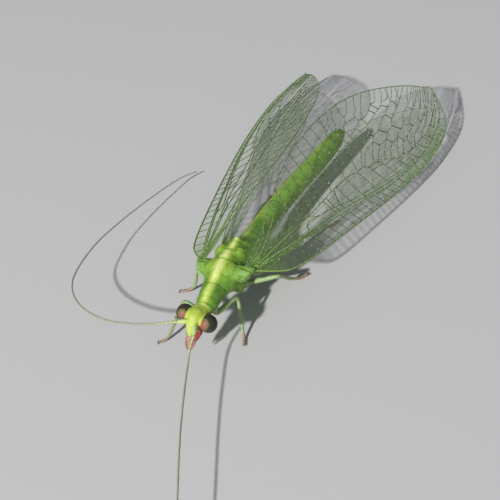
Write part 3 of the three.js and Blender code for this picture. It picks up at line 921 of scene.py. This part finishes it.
def grow_limb_setae(coat, line, radius, length, count):
    """Short hairs round a limb that lean to its end."""
    for i in range(count):
        share = (i + coat.draw.random()) / count
        k = min(int(share * (len(line) - 1)), len(line) - 2)
        along = (line[k + 1] - line[k]).normalized()
        side = along.cross(Vector((0, 0.2, 1))).normalized()
        angle = coat.draw.uniform(0, 2 * pi)
        out = side * cos(angle) + along.cross(side) * sin(angle)
        way = (out * 0.8 + along * 0.7).normalized()
        root = line[k] + out * radius * 0.9
        reach = length * coat.draw.uniform(0.7, 1.2)
        if root.z + way.z * reach > 0.02 + 0.1 * reach:
            place = (0.02 + 0.96 * share, 0.02 + 0.96 * angle / (2 * pi))
            coat.hair(root, way, reach, HAIR_RADIUS, place)


def tarsus_width(t):
    return 0.07 * (0.72 + 0.28 * abs(sin(pi * (t * TARSUS_BEADS) % pi)) ** 0.5)


def build_leg(name, joints, seed):
    shape = Shape()
    coat = Coat(seed)
    hip, bend, knee, ankle = [Vector(p) for p in joints[:4]]
    toe = Vector((*joints[4], FOOT_HEIGHT))
    heel = Vector((lerp(ankle.x, toe.x, 0.5), lerp(ankle.y, toe.y, 0.5), FOOT_HEIGHT))
    root = Vector((hip.x * 0.75, hip.y, hip.z + 0.32))
    line = resample(jointed_line([root, hip, bend, knee, ankle, heel, toe], 0.32), 0.04)
    at_bend, at_knee, at_ankle = [
        min(range(len(line)), key=lambda i: (line[i] - joint).length) for joint in (bend, knee, ankle)
    ]
    femur = line[at_bend - 2:at_knee + 1]
    tibia = line[at_knee:at_ankle + 1]
    tarsus = line[at_ankle - 1:]
    for part, keys, brown in (
        (line[:at_bend + 1], [(0, 0.2), (0.4, 0.2), (0.8, 0.14), (1, 0.11)], 0.0),
        (femur, [(0, 0.09), (0.15, 0.125), (0.6, 0.12), (0.92, 0.095), (1, 0.1)], 0.0),
        (
            tibia, [(0, 0.105), (0.08, 0.08), (0.5, 0.085), (0.9, 0.08), (1, 0.07)],
            0.6 if name == "foreleg_right" else 0.1,
        ),
    ):
        shape.mark(shape.tube(part, profile(keys), 12), brown=brown)
    shape.blob(line[at_knee], (0.105, 0.105, 0.105), count=14, rings=10)
    first = shape.tube(tarsus, tarsus_width, 12)
    total = len(shape.points) - first
    shape.mark(first, brown=lambda i: ramp((i - first) / total, 0.0, 0.5))
    # Two claws and the pad between them
    end = line[-1]
    ahead = (end - line[-3]).normalized()
    across = ahead.cross(Vector((0, 0, 1)))
    for way in (-1, 1):
        claw = [
            end + across * way * 0.02,
            end + ahead * 0.07 + across * way * 0.07 + Vector((0, 0, 0.015)),
            end + ahead * 0.13 + across * way * 0.075 - Vector((0, 0, 0.05)),
        ]
        first = shape.tube(resample(smooth_line(claw), 0.02), lambda t: 0.022 * (1 - 0.8 * t), 8)
        shape.mark(first, dark=1.0)
    first = shape.blob(end + ahead * 0.05 - Vector((0, 0, 0.04)), (0.05, 0.05, 0.035), count=12, rings=8)
    shape.mark(first, brown=1.0)
    for point in shape.points:
        point.z = max(point.z, FLOOR_GAP)
    shape.dress(f"{name}_fine", [LEG], "leg", (name,))
    for part, radius, length, count in (
        (femur, 0.105, 0.12, 26), (tibia, 0.075, 0.1, 44), (tarsus[:-4], 0.055, 0.07, 40),
    ):
        grow_limb_setae(coat, part, radius, length, count)
    coat.dress(f"{name}_setae", "leg")


for leg_seed, (leg_name, leg_joints) in enumerate(LEGS.items(), 30):
    build_leg(leg_name, leg_joints, leg_seed)


# Antennae

ANTENNAE = {
    "left": [
        (0.32, -3.96, 2.5), (0.24, -4.36, 2.2), (0.32, -4.82, 1.96), (1.03, -6.65, 1.82),
        (1.83, -8.44, 1.75), (2.97, -10.73, 1.65), (3.89, -12.5, 1.55), (5.19, -14.38, 1.4),
        (6.91, -16.05, 1.2), (8.8, -17.4, 0.9), (10.4, -18.3, 0.5),
    ],
    "right": [
        (-2.25, -3.98, 2.6), (-4.36, -4.12, 2.4), (-6.47, -3.46, 2.2), (-7.79, -2.16, 2),
        (-8.21, 0.07, 1.8), (-8.05, 2.23, 1.5), (-7.53, 4.93, 1.05), (-7.01, 6.9, 0.65),
        (-6.56, 7.67, 0.45),
    ],
}
ANTENNA_RINGS = 92
ANTENNA_SIDES = 8


def build_antenna(side_name, points):
    coat = Coat(40 + len(side_name))
    shape = Shape()
    side = SIDES[side_name]
    socket = HEAD @ on_side(side, SOCKET)
    start = Vector(points[0]) if side > 0 else socket.lerp(Vector(points[0]), 0.28)
    scape_end = socket.lerp(start, 0.85)
    scape = resample([socket, scape_end], 0.04)
    first = shape.tube(scape, profile([(0, 0.08), (0.3, 0.11), (0.7, 0.1), (1, 0.07)]), 18)
    shape.mark(first, green=1.0)
    whip = resample(smooth_line([scape_end] + (points[1:] if side > 0 else points)), 0.02)
    # Each ring's place along the whip, its radius and how dark it is
    rings = [(whip[0], 0.07, 0.3)]
    for k in range(ANTENNA_RINGS):
        for part, size, dark in ((0.08, 0.86, 0.6), (0.3, 1.0, 0.1), (0.9, 1.0, 0.0)):
            share = (k + part) / ANTENNA_RINGS
            place = whip[min(int(share * (len(whip) - 1)), len(whip) - 1)]
            rings.append((place, size * lerp(0.052, 0.03, share ** 0.8), dark))
    rings.append((whip[-1], 0.012, 0.5))
    first = shape.tube([place for place, radius, dark in rings], 0.05, ANTENNA_SIDES)

    def ring_of(i):
        return (i - first) // ANTENNA_SIDES

    for i in range(first, len(shape.points)):
        place, radius, dark = rings[ring_of(i)]
        shape.points[i] = place + (shape.points[i] - place).normalized() * radius
    shape.mark(
        first,
        dark=lambda i: rings[ring_of(i)][2],
        green=lambda i: 0.8 * fall(ring_of(i) / len(rings), 0.0, 0.12),
    )
    nodes = [f"antenna_{side_name}_{part}" for part in ("scape", "length_1", "length_2", "length_3")]
    shape.dress(f"antenna_{side_name}_fine", [ANTENNA], "antenna", nodes)
    grow_limb_setae(coat, whip[:-20], 0.036, 0.06, 620)
    coat.dress(f"antenna_{side_name}_setae", "antenna")


for antenna_side, antenna_points in ANTENNAE.items():
    build_antenna(antenna_side, antenna_points)


# Veins of the wings

def curve(points):
    """A smooth line in the plane of the wing through (along, out) places."""
    return smooth_line([(a, o, 0) for a, o in points])


def nearest_along(line, along):
    return min(line, key=lambda p: abs(p.x - along))


def spaced(start, end, step, draw=None, loose=0.0):
    """Places from start to before end, at steps that may vary a little."""
    place = start
    while place < end:
        yield place
        place += step + (draw.uniform(-loose, loose) if draw else 0)


class Venation:
    """The veins of one wing as lines of (along, out) in millimetres, with their width and darkness."""

    def __init__(self, length, front, hind, stoutness=1.0):
        self.length = length
        self.stoutness = stoutness
        self.front = lambda a: front(a / length) * length
        self.hind = lambda a: hind(a / length) * length
        self.veins = []

    def line(self, points, radius, dark, end_radius=None):
        flat = [Vector((p[0], p[1], 0)) for p in points]
        self.veins.append((flat, radius * self.stoutness, (end_radius or radius) * self.stoutness, dark))

    def run(self, course, start, end, radius, dark, end_radius=None):
        count = max(2, round((end - start) / 0.3))
        places = [lerp(start, end, i / count) for i in range(count + 1)]
        self.line([(a, course(a)) for a in places], radius, dark, end_radius)

    def margin(self, radius, end_radius):
        """The whole rim as one line round the wing."""
        count = 90
        shares = [1 - (1 - i / count) ** 1.7 for i in range(count + 1)]
        front = [(s * self.length, self.front(s * self.length)) for s in shares]
        hind = [(s * self.length, self.hind(s * self.length)) for s in reversed(shares)]
        self.edge = [Vector((a, o, 0)) for a, o in front + hind]
        self.line(front + hind[:2], radius, 0.05, end_radius)
        self.line(hind, end_radius, 0.2)

    def twig(self, points, radius, dark):
        """A curved vein whose last point is drawn to the rim when it lies close to it."""
        line = curve(points)
        last = line[-1]
        near = min(self.edge, key=lambda p: (p - last).length)
        if (near - last).length < 0.3:
            moved = near - last
            line = [p + moved * (i / (len(line) - 1)) ** 2 for i, p in enumerate(line)]
        self.line(line, radius, dark, 0.8 * radius)
        return line

    def link(self, upper, a, lower, b, radius, dark):
        """A crossvein from one curved vein to another, at the given places along the wing."""
        self.line([nearest_along(upper, a), nearest_along(lower, b)], radius, dark)

    def rung(self, upper, a, lower, b, radius, dark, bow=0.0):
        """A crossvein between two courses, straight or bowed along the wing."""
        shares = [i / 6 for i in range(7)]
        ends = (upper(a), lower(b))
        self.line([(lerp(a, b, s) + bow * sin(pi * s), lerp(*ends, s)) for s in shares], radius, dark)


def broken_course(points):
    """A course of straight stretches through the given places, as a zigzag vein runs."""

    def course(a):
        for (a0, o0), (a1, o1) in zip(points, points[1:]):
            if a <= a1:
                return lerp(o0, o1, min(max((a - a0) / (a1 - a0), 0), 1))
        return points[-1][1]

    return course


def forewing_venation():
    wing = Venation(FOREWING_LENGTH, FOREWING_FRONT, FOREWING_HIND)
    draw = random.Random(11)
    radius_vein = profile([
        (0, 0.5), (1.3, 0.55), (2.2, 0.67), (4.05, 0.83), (5.9, 1.01), (7.7, 1.28), (8.6, 1.39),
        (9.5, 1.45), (10.4, 1.44), (11.3, 1.37), (12.2, 1.24), (13.1, 0.87), (13.75, 0.6),
    ])

    def subcosta(a):
        return radius_vein(a) + 0.14 * ramp(a, 0.2, 1.4) * (1 - 0.35 * ramp(a, 8.5, 10))

    sector = profile([
        (3.6, 0.5), (3.9, 0.42), (4.6, 0.52), (5.4, 0.66), (6.2, 0.85), (7.05, 1.02), (7.9, 1.14),
        (8.6, 1.24), (9.5, 1.31), (10.4, 1.3), (11.3, 1.22), (12.2, 1.08), (13.0, 0.72), (13.8, 0.3),
    ])
    media = profile([(0.1, 0.4), (0.9, 0.36), (2.2, 0.28), (3.9, 0.22), (4.1, 0.22)])
    stairs = [
        (4.05, 0.22), (5.2, 0.08), (6.25, -0.04), (7.4, -0.06), (7.55, 0.05), (8.2, 0.03), (8.42, 0.21),
        (8.88, 0.22), (9.16, 0.42), (9.5, 0.42), (9.86, 0.67), (10.15, 0.82), (10.5, 0.78), (10.8, 0.87),
        (11.5, 0.81), (12.4, 0.76), (13.2, 0.4), (13.9, 0.0),
    ]
    inner_line = broken_course(stairs)
    outer_line = profile([
        (0.5, 0.3), (1.75, 0.15), (2.8, 0.05), (3.86, -0.17), (4.6, -0.47), (5.5, -0.78), (7.05, -1.08),
        (8.15, -1.29), (9.05, -1.4), (9.95, -1.45), (10.4, -1.5), (11.2, -1.72), (11.8, -1.85),
        (12.7, -2.3),
    ])
    wing.margin(0.045, 0.024)
    wing.run(radius_vein, 0, 13.75, 0.04, 0.0, 0.024)
    wing.run(subcosta, 0, 10.6, 0.026, 0.1)
    wing.run(sector, 3.6, 13.6, 0.026, 0.05, 0.02)
    wing.run(media, 0.1, 4.1, 0.034, 0.05)
    wing.line(stairs, 0.025, 0.35, 0.02)
    wing.run(outer_line, 0.4, 11.8, 0.025, 0.35, 0.02)
    # Veins of the base that curve to the hind margin
    for path, size in (
        ([(0.05, 0.25), (0.9, 0.12), (1.9, -0.35), (2.9, -0.95), (3.3, -1.52)], 0.034),
        ([(0.05, 0.16), (0.8, -0.02), (1.6, -0.4), (2.3, -0.98)], 0.03),
        ([(1.9, -0.35), (2.9, -0.55), (3.5, -0.8), (3.9, -1.85)], 0.026),
    ):
        wing.line(curve(path), size, 0.2)
    wing.line([(2.7, 0.26), (3.1, 0.03), (3.6, 0.0), (4.05, 0.2)], 0.026, 0.2)
    # Ladder of the front margin
    place = 0.35
    while place < 9.4:
        wing.rung(subcosta, place, wing.front, place + 0.1 + 0.22 * ramp(place, 0.5, 2), 0.016, 0.75)
        place += lerp(0.5, 0.42, ramp(place, 3, 7)) * draw.uniform(0.94, 1.06)
    for place in spaced(place, 13.2, 0.3):
        wing.rung(subcosta, place, wing.front, place + 0.16, 0.015, 0.2)
    for top, bottom, dark in (
        (5.18, 5.2, 0.8), (5.39, 5.42, 0.8), (5.7, 6.05, 0.9), (6.27, 6.27, 0.9), (7.05, 6.95, 0.5),
        (7.84, 7.73, 0.4), (8.6, 8.45, 0.4), (9.36, 9.18, 0.4), (10.14, 9.95, 0.4), (10.9, 10.77, 0.5),
        (11.68, 11.55, 0.5), (12.4, 12.35, 0.5),
    ):
        wing.rung(sector, top, inner_line, bottom, 0.02, dark)
        wing.rung(radius_vein, top + 0.08, sector, top + 0.04, 0.02, dark)
    wing.rung(radius_vein, 3.5, lambda a: 0.48, 3.66, 0.026, 0.9)
    for upper, top, lower, bottom, dark in (
        (radius_vein, 1.3, media, 1.32, 0.8), (media, 1.3, outer_line, 1.35, 0.8),
        (radius_vein, 2.5, media, 2.62, 0.6), (sector, 4.35, media, 4.05, 0.6),
    ):
        wing.rung(upper, top, lower, bottom, 0.015, dark)
    for top, bottom in ((4.1, 4.45), (4.9, 5.35), (5.85, 6.3), (6.95, 7.4), (7.75, 8.25)):
        wing.rung(inner_line, top, outer_line, bottom, 0.018, 0.7, 0.03)
    # Veins from the outer line back to the hind margin
    for start in spaced(3.1, 8.3, 0.7, draw, 0.03):
        wing.rung(outer_line, start, wing.hind, start + 0.74, 0.017, 0.6, 0.1)
    # Cells and arches along the outer half of the hind margin
    arches = [wing.twig(points, 0.018, 0.6) for points in (
        [(8.1, -2.2), (8.2, -2.4), (8.5, -2.85), (8.7, -3.35)],
        [(8.6, -1.36), (8.62, -2.0), (8.7, -2.65), (8.95, -2.92), (9.15, -3.12), (9.4, -3.42)],
        [(8.62, -2.2), (9.0, -2.45), (9.2, -2.85), (9.46, -3.15), (9.72, -3.43)],
        [(9.02, -1.42), (9.04, -1.6), (9.3, -1.64), (9.6, -1.73), (9.9, -1.83), (10.17, -1.93),
         (10.19, -2.2), (10.3, -2.44), (10.55, -2.5), (10.72, -2.75), (10.97, -3.0), (11.25, -3.28)],
        [(9.04, -1.62), (9.12, -2.0), (9.3, -2.22), (9.55, -2.3), (9.72, -2.56), (10.0, -2.66),
         (10.25, -2.82), (10.5, -3.08), (10.75, -3.38)],
        [(10.1, -1.9), (10.4, -1.96), (10.62, -2.2), (10.82, -2.36), (10.95, -2.48), (11.15, -2.68),
         (11.45, -2.92), (11.7, -3.15)],
        [(10.3, -1.93), (10.6, -1.91), (10.8, -1.96), (11.05, -2.06), (11.3, -2.2), (11.5, -2.33),
         (11.8, -2.6), (12.1, -2.95)],
        [(11.4, -2.27), (11.68, -2.22), (11.9, -2.35), (12.2, -2.65), (12.4, -2.85)],
        [(11.78, -1.84), (12.2, -2.15), (12.5, -2.4), (12.68, -2.65)],
        [(12.02, -2.03), (12.25, -1.95), (12.45, -1.98), (12.7, -2.2), (13.0, -2.48)],
        [(9.72, -2.56), (9.8, -2.85), (9.98, -3.15), (10.15, -3.42)],
    )]
    wing.link(arches[3], 10.19, arches[4], 9.45, 0.018, 0.4)
    outer = curve([(a, outer_line(a)) for a in (8.6, 9.2, 9.8, 10.4, 11.0, 11.4, 11.8)])
    for place, arch, foot in ((9.7, 3, 9.6), (10.3, 5, 10.38), (11.17, 6, 11.05), (11.5, 6, 11.42)):
        wing.link(outer, place, arches[arch], foot, 0.022, 0.9 if place > 11 else 0.4)
    # Long slanting veins of the outer field, each bent where a crossvein meets it
    slants = {
        "a": [
            (8.2, 0.02), (8.35, -0.2), (8.6, -0.45), (9.0, -0.75), (9.5, -0.98), (9.88, -1.08),
            (10.15, -1.42),
        ],
        "a fork": [(8.3, 0.08), (8.7, -0.25), (9.1, -0.51), (9.4, -0.58), (9.7, -0.61)],
        "b": [
            (8.88, 0.2), (9.1, -0.12), (9.4, -0.34), (9.7, -0.61), (10.0, -0.82), (10.45, -0.9),
            (10.8, -1.07), (11.2, -1.25), (11.65, -1.38), (12.0, -1.54), (12.45, -1.7), (12.8, -1.92),
            (13.25, -2.26),
        ],
        "b fork": [(8.95, 0.42), (9.3, 0.1), (9.6, -0.1), (9.86, -0.27), (10.1, -0.28), (10.38, -0.29)],
        "c": [
            (9.5, 0.4), (9.75, 0.15), (10.0, -0.05), (10.38, -0.29), (10.73, -0.53), (11.2, -0.65),
            (11.6, -0.95), (12.0, -1.13), (12.5, -1.3), (12.95, -1.52), (13.3, -1.72), (13.75, -1.97),
        ],
        "c fork": [(9.86, 0.55), (9.97, 0.32), (10.25, 0.15), (10.5, 0.03), (10.75, 0.02), (11.0, -0.04)],
        "d": [
            (10.22, 0.72), (10.5, 0.35), (10.75, 0.15), (11.0, -0.04), (11.3, -0.23), (11.55, -0.27),
            (11.8, -0.31), (12.0, -0.52), (12.2, -0.73), (12.5, -0.87), (12.9, -1.0), (13.4, -1.2),
            (13.8, -1.5), (14.1, -1.7),
        ],
        "d high": [
            (11.7, -0.3), (12.1, -0.23), (12.3, -0.35), (12.55, -0.48), (12.9, -0.63), (13.3, -0.8),
            (13.8, -1.1), (14.25, -1.5),
        ],
        "d fork": [(10.56, 0.78), (10.85, 0.46), (11.1, 0.28), (11.3, 0.25), (11.5, 0.2)],
        "e": [
            (11.15, 0.82), (11.3, 0.42), (11.5, 0.2), (11.75, 0.12), (12.1, 0.06), (12.25, -0.03),
            (12.5, -0.08), (12.85, -0.22), (13.3, -0.42), (13.8, -0.78), (14.4, -1.35),
        ],
        "f": [
            (11.45, 0.8), (11.65, 0.55), (11.85, 0.42), (12.15, 0.31), (12.5, 0.22), (12.9, 0.08),
            (13.3, -0.1), (13.8, -0.42), (14.5, -1.12),
        ],
        "g": [
            (12.0, 0.78), (12.2, 0.63), (12.45, 0.5), (12.8, 0.34), (13.1, 0.17), (13.5, -0.05),
            (14.0, -0.42), (14.6, -1.0),
        ],
        "h": [(12.4, 0.96), (12.7, 0.72), (13.1, 0.5), (13.5, 0.25), (14.0, -0.1), (14.65, -0.78)],
        "i": [(12.95, 0.78), (13.3, 0.6), (13.8, 0.25), (14.3, -0.15), (14.7, -0.58)],
        "j": [(13.35, 0.75), (13.8, 0.5), (14.2, 0.18), (14.6, -0.3)],
    }
    slants = {name: wing.twig(points, 0.019, 0.5) for name, points in slants.items()}
    for upper, a, lower, b, dark in (
        ("b fork", 9.86, "b", 9.73, 0.75), ("c fork", 10.5, "c", 10.4, 0.75),
        ("d fork", 11.1, "d", 11.05, 0.6), ("e", 12.15, "d high", 12.11, 0.95),
        ("d", 11.5, "c", 11.25, 1.0), ("c", 10.72, "b", 10.5, 1.0),
        ("b", 10.0, "a", 9.88, 1.0), ("c", 12.5, "b", 12.46, 0.7), ("f", 12.75, "e", 12.7, 0.7),
        ("d high", 12.95, "d", 12.8, 0.7), ("c", 11.6, "b", 11.5, 0.7), ("g", 13.25, "f", 13.2, 0.6),
    ):
        wing.link(slants[upper], a, slants[lower], b, 0.023, dark)
    wing.link(slants["b"], 12.02, outer, 11.8, 0.023, 0.9)
    for name, place, far in (
        ("b", 12.45, (12.86, -2.55)), ("c", 12.9, (13.35, -2.2)), ("c", 12.2, (13.5, -2.1)),
        ("d", 13.0, (13.95, -1.85)), ("d high", 13.1, (14.15, -1.62)), ("e", 13.3, (14.32, -1.42)),
        ("f", 13.5, (14.45, -1.25)), ("g", 13.3, (14.56, -1.08)), ("h", 13.4, (14.68, -0.85)),
        ("i", 13.8, (14.7, -0.68)), ("j", 13.9, (14.62, -0.4)),
    ):
        start = nearest_along(slants[name], place)
        aside = (lerp(start.x, far[0], 0.45) + 0.02, lerp(start.y, far[1], 0.45) - 0.06)
        wing.twig([(start.x, start.y), aside, far], 0.016, 0.5)
    # Short steps that lie beside the zigzag vein
    for steps in (
        [(8.48, 0.3), (8.52, 0.47), (8.9, 0.47), (9.14, 0.55)], [(9.25, 0.68), (9.6, 0.64), (9.93, 0.66)],
        [(10.0, 0.78), (10.3, 0.8), (10.56, 0.76)], [(10.85, 0.93), (11.1, 0.86), (11.4, 0.86)],
    ):
        wing.line(steps, 0.019, 0.55)
    for i in range(6):
        along = 12.9 + 0.16 * i
        wing.twig([(along, radius_vein(along)), (along + 0.3, wing.front(along + 0.34) + 0.1)], 0.014, 0.2)
    return wing


def hindwing_venation():
    wing = Venation(HINDWING_LENGTH, HINDWING_FRONT, HINDWING_HIND, 0.55)
    draw = random.Random(7)

    def shared(keys):
        share = profile(keys)
        return lambda a: lerp(wing.front(a), wing.hind(a), share(a / HINDWING_LENGTH))

    radius_vein = shared([(0, 0.3), (0.2, 0.22), (0.5, 0.13), (1, 0.14)])
    sector = shared([(0, 0.36), (0.2, 0.34), (0.5, 0.22), (0.75, 0.19), (1, 0.22)])
    inner_line = shared([(0, 0.5), (0.3, 0.42), (0.5, 0.4), (0.75, 0.36), (1, 0.42)])
    outer_line = shared([(0, 0.76), (0.3, 0.68), (0.6, 0.68), (0.85, 0.82), (1, 0.86)])
    wing.margin(0.036, 0.02)
    wing.run(radius_vein, 0.02, 12.2, 0.032, 0.05, 0.02)
    wing.run(sector, 0.5, 12.3, 0.024, 0.1, 0.018)
    wing.run(inner_line, 0.4, 11.6, 0.018, 0.1)
    wing.run(outer_line, 0.4, 11.3, 0.018, 0.15)
    for place in spaced(0.8, 11.6, 0.36):
        wing.rung(radius_vein, place, wing.front, place + 0.12, 0.015, 0.5)
    for place in spaced(1.4, 11.4, 0.72, draw, 0.05):
        wing.rung(sector, place, inner_line, place - 0.08, 0.015, 0.6)
        wing.rung(radius_vein, place + 0.1, sector, place + 0.06, 0.015, 0.6)
    for place in spaced(1.8, 10.8, 0.78, draw, 0.05):
        wing.rung(inner_line, place, outer_line, place + 0.36, 0.015, 0.5, 0.03)
    for place in spaced(1.2, 10.9, 0.62, draw, 0.04):
        wing.rung(outer_line, place, wing.hind, place + 0.6, 0.015, 0.4, 0.08)
    return wing


def grow_vein_setae(coat, line, radius, at, length, spacing):
    """Short hairs on both faces of a vein, leaning to the wing's tip, whitish at random strengths as
    painted glints.
    """
    travelled = 0.0
    for before, after in zip(line, line[1:]):
        travelled += (after - before).length
        if travelled < spacing * coat.draw.uniform(0.5, 1.8):
            continue
        travelled = 0.0
        root = at(after.x, after.y)
        along = (at(after.x + 0.05, after.y) - root).normalized()
        across = (at(after.x, after.y + 0.05) - root).normalized()
        normal = along.cross(across).normalized()
        for face in (-1, 1):
            way = normal * face * 0.7 + along * 0.6 + across * coat.draw.uniform(-0.5, 0.5)
            size = coat.draw.uniform(0.08, 0.14)
            place = (0.01 + 0.97 * after.x / length, 0.02 + 0.94 * (after.y + 4) / 7)
            # Painted glint: how whitish each hair is
            light = 0.3 + 0.7 * coat.draw.random()
            width = coat.draw.uniform(0.008, 0.012)
            coat.hair(root + normal * face * radius * 0.7, way.normalized(), size, width, place, light)


FILM_ROWS = 72
FILM_COLUMNS = 26
VEIN_SIDES = 6


def film(shape, venation, at, stigma, opacity_and_sheen):
    """The wing's film as one open sheet, and how green and how opaque each of its points is."""
    length = venation.length
    green = {}
    cover = {}
    for i in range(FILM_ROWS + 1):
        along = length * (1 - (1 - i / FILM_ROWS) ** 1.6)
        lobe = (0.5 if stigma else 0.35) * bump(along, 1.1, 0.95) * ramp(along, 0, 0.4)
        near_root = fall(along, 0.2, 3.4)
        for j in range(FILM_COLUMNS + 1):
            across = j / FILM_COLUMNS
            out = lerp(venation.front(along), venation.hind(along) - lobe, across)
            inside = 0.0
            if stigma:
                streak = noise(Vector((along * 1.6, out * 9, 0)))
                band = ramp(out - stigma(along), -0.2, 0.2) * (0.85 + 0.4 * streak)
                inside = band * ramp(along, 6.0, 10.4) * fall(along, 12.6, 14.2)
            inner = near_root * bump(across, 0.72, 0.26)
            fade = 1 - 0.85 * near_root * ramp(across, 0.72, 1)
            index = len(shape.points)
            green[index] = max(inside, 0.8 * near_root, 0.2)
            # Opacity: the film's own and, on the right wings, a painted sheen, with the stigma and the
            # root more opaque
            cover[index] = fade * (opacity_and_sheen + 0.5 * inside + 0.4 * near_root ** 2 + 0.2 * inner)
            shape.points.append(at(along, out))
    for i in range(FILM_ROWS):
        for j in range(FILM_COLUMNS):
            a = i * (FILM_COLUMNS + 1) + j
            shape.faces.append((a, a + 1, a + FILM_COLUMNS + 2, a + FILM_COLUMNS + 1))
            shape.finishes.append(0)
    return green, cover


def build_wing(name, venation, at, stigma, opacity_and_sheen):
    """One wing, where stigma is the edge of the opaque streak of a forewing."""
    shape = Shape()
    coat = Coat(13 if stigma else 17)
    green, cover = film(shape, venation, at, stigma, opacity_and_sheen)
    for flat, radius, end_radius, dark in venation.veins:
        line = resample(flat, 0.16)
        points = [at(p.x, p.y) for p in line]
        first = shape.tube(points, lambda t: lerp(radius, end_radius, t), VEIN_SIDES, finish=1)

        def lime(i):
            along = line[(i - first) // VEIN_SIDES].x
            return (0.8 if radius > 0.03 else 0.35) * fall(along, 0.6, 4.5)

        shape.mark(first, dark=dark if stigma else 0.25 * dark, faint=0.0 if stigma else 0.8, lime=lime)
        grow_vein_setae(coat, line, radius, at, venation.length, 0.26 if stigma else 0.5)
    shape.marks["cover"] = cover
    shape.marks["stigma"] = green
    coat.dress(f"{name}_setae", "wing")
    shape.dress(f"{name}_fine", [FILM, VEIN], "wing", (name,), closed=False)


STIGMA_EDGE = profile([
    (5.9, 1.06), (7.7, 1.3), (8.6, 1.42), (9.5, 1.5), (10.4, 1.48), (11.3, 1.4), (12.2, 1.27),
    (13.1, 0.9), (13.75, 0.62),
])
front_network = forewing_venation()
hind_network = hindwing_venation()
for wing_side, wing_sign in SIDES.items():
    pose = POSES[wing_side]
    # The right wings, seen at a grazing angle, get more opacity as a painted sheen
    opacity_and_sheen = 0.12 if wing_side == "right" else 0.03
    front_at = wing_surface(wing_sign, pose, False)
    build_wing(f"forewing_{wing_side}", front_network, front_at, STIGMA_EDGE, opacity_and_sheen)
    build_wing(f"hindwing_{wing_side}", hind_network, wing_surface(wing_sign, pose, True), None, opacity_and_sheen)


# Floor, light and camera

LAMP_DISTANCE = 0.45
FOCAL_PIXELS = 1000.15
PICTURE_PIXELS = 500


def build_stage():
    half = 0.6
    corners = [(-half, -half, 0), (half, -half, 0), (half, half, 0), (-half, half, 0)]
    mesh = bpy.data.meshes.new("floor")
    mesh.from_pydata(corners, [], [(0, 1, 2, 3)])
    tone = (0.5, 0.5, 0.51, 1.0)
    mesh.materials.append(finish("plain_floor", lambda tree: {}, Base_Color=tone, Roughness=0.9))
    placed("floor", mesh)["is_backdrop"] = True

    world = bpy.data.worlds.new("soft_room")
    world.use_nodes = True
    background = world.node_tree.nodes["Background"]
    background.inputs["Color"].default_value = (0.9, 0.95, 1.0, 1.0)
    background.inputs["Strength"].default_value = 0.26
    bpy.context.scene.world = world

    middle = shift + Vector((0, 0.002, 0))
    travel = Vector((0.13, 1.19, -1.0)).normalized()
    lamp = bpy.data.lights.new("key_light", "AREA")
    lamp.shape = "DISK"
    lamp.size = 0.024
    lamp.energy = 2.45
    lamp.color = (1.0, 0.985, 0.96)
    key = placed("key_light", lamp)
    key.location = middle - travel * LAMP_DISTANCE
    key.rotation_euler = travel.to_track_quat("-Z", "Y").to_euler()
    bpy.context.scene.view_settings.view_transform = "Standard"


def build_camera():
    spot = Vector((22.006, -24.162, 34.158))
    right = Vector((0.8691, 0.4298, -0.2448))
    up = Vector((-0.1602, 0.7129, 0.6828))
    look = Vector((-0.468, 0.5542, -0.6884))
    data = bpy.data.cameras.new("camera")
    data.sensor_width = 36
    data.lens = 36 * FOCAL_PIXELS / PICTURE_PIXELS
    data.clip_start = 0.001
    data.clip_end = 5
    camera = placed("camera", data)
    turn = Matrix((right, up, -look)).transposed().to_4x4()
    camera.matrix_world = Matrix.Translation(PLACE @ spot) @ turn
    bpy.context.scene.camera = camera


build_stage()
build_camera()

repr([[list(corner) for corner in box] for box in (cad_box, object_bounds())])
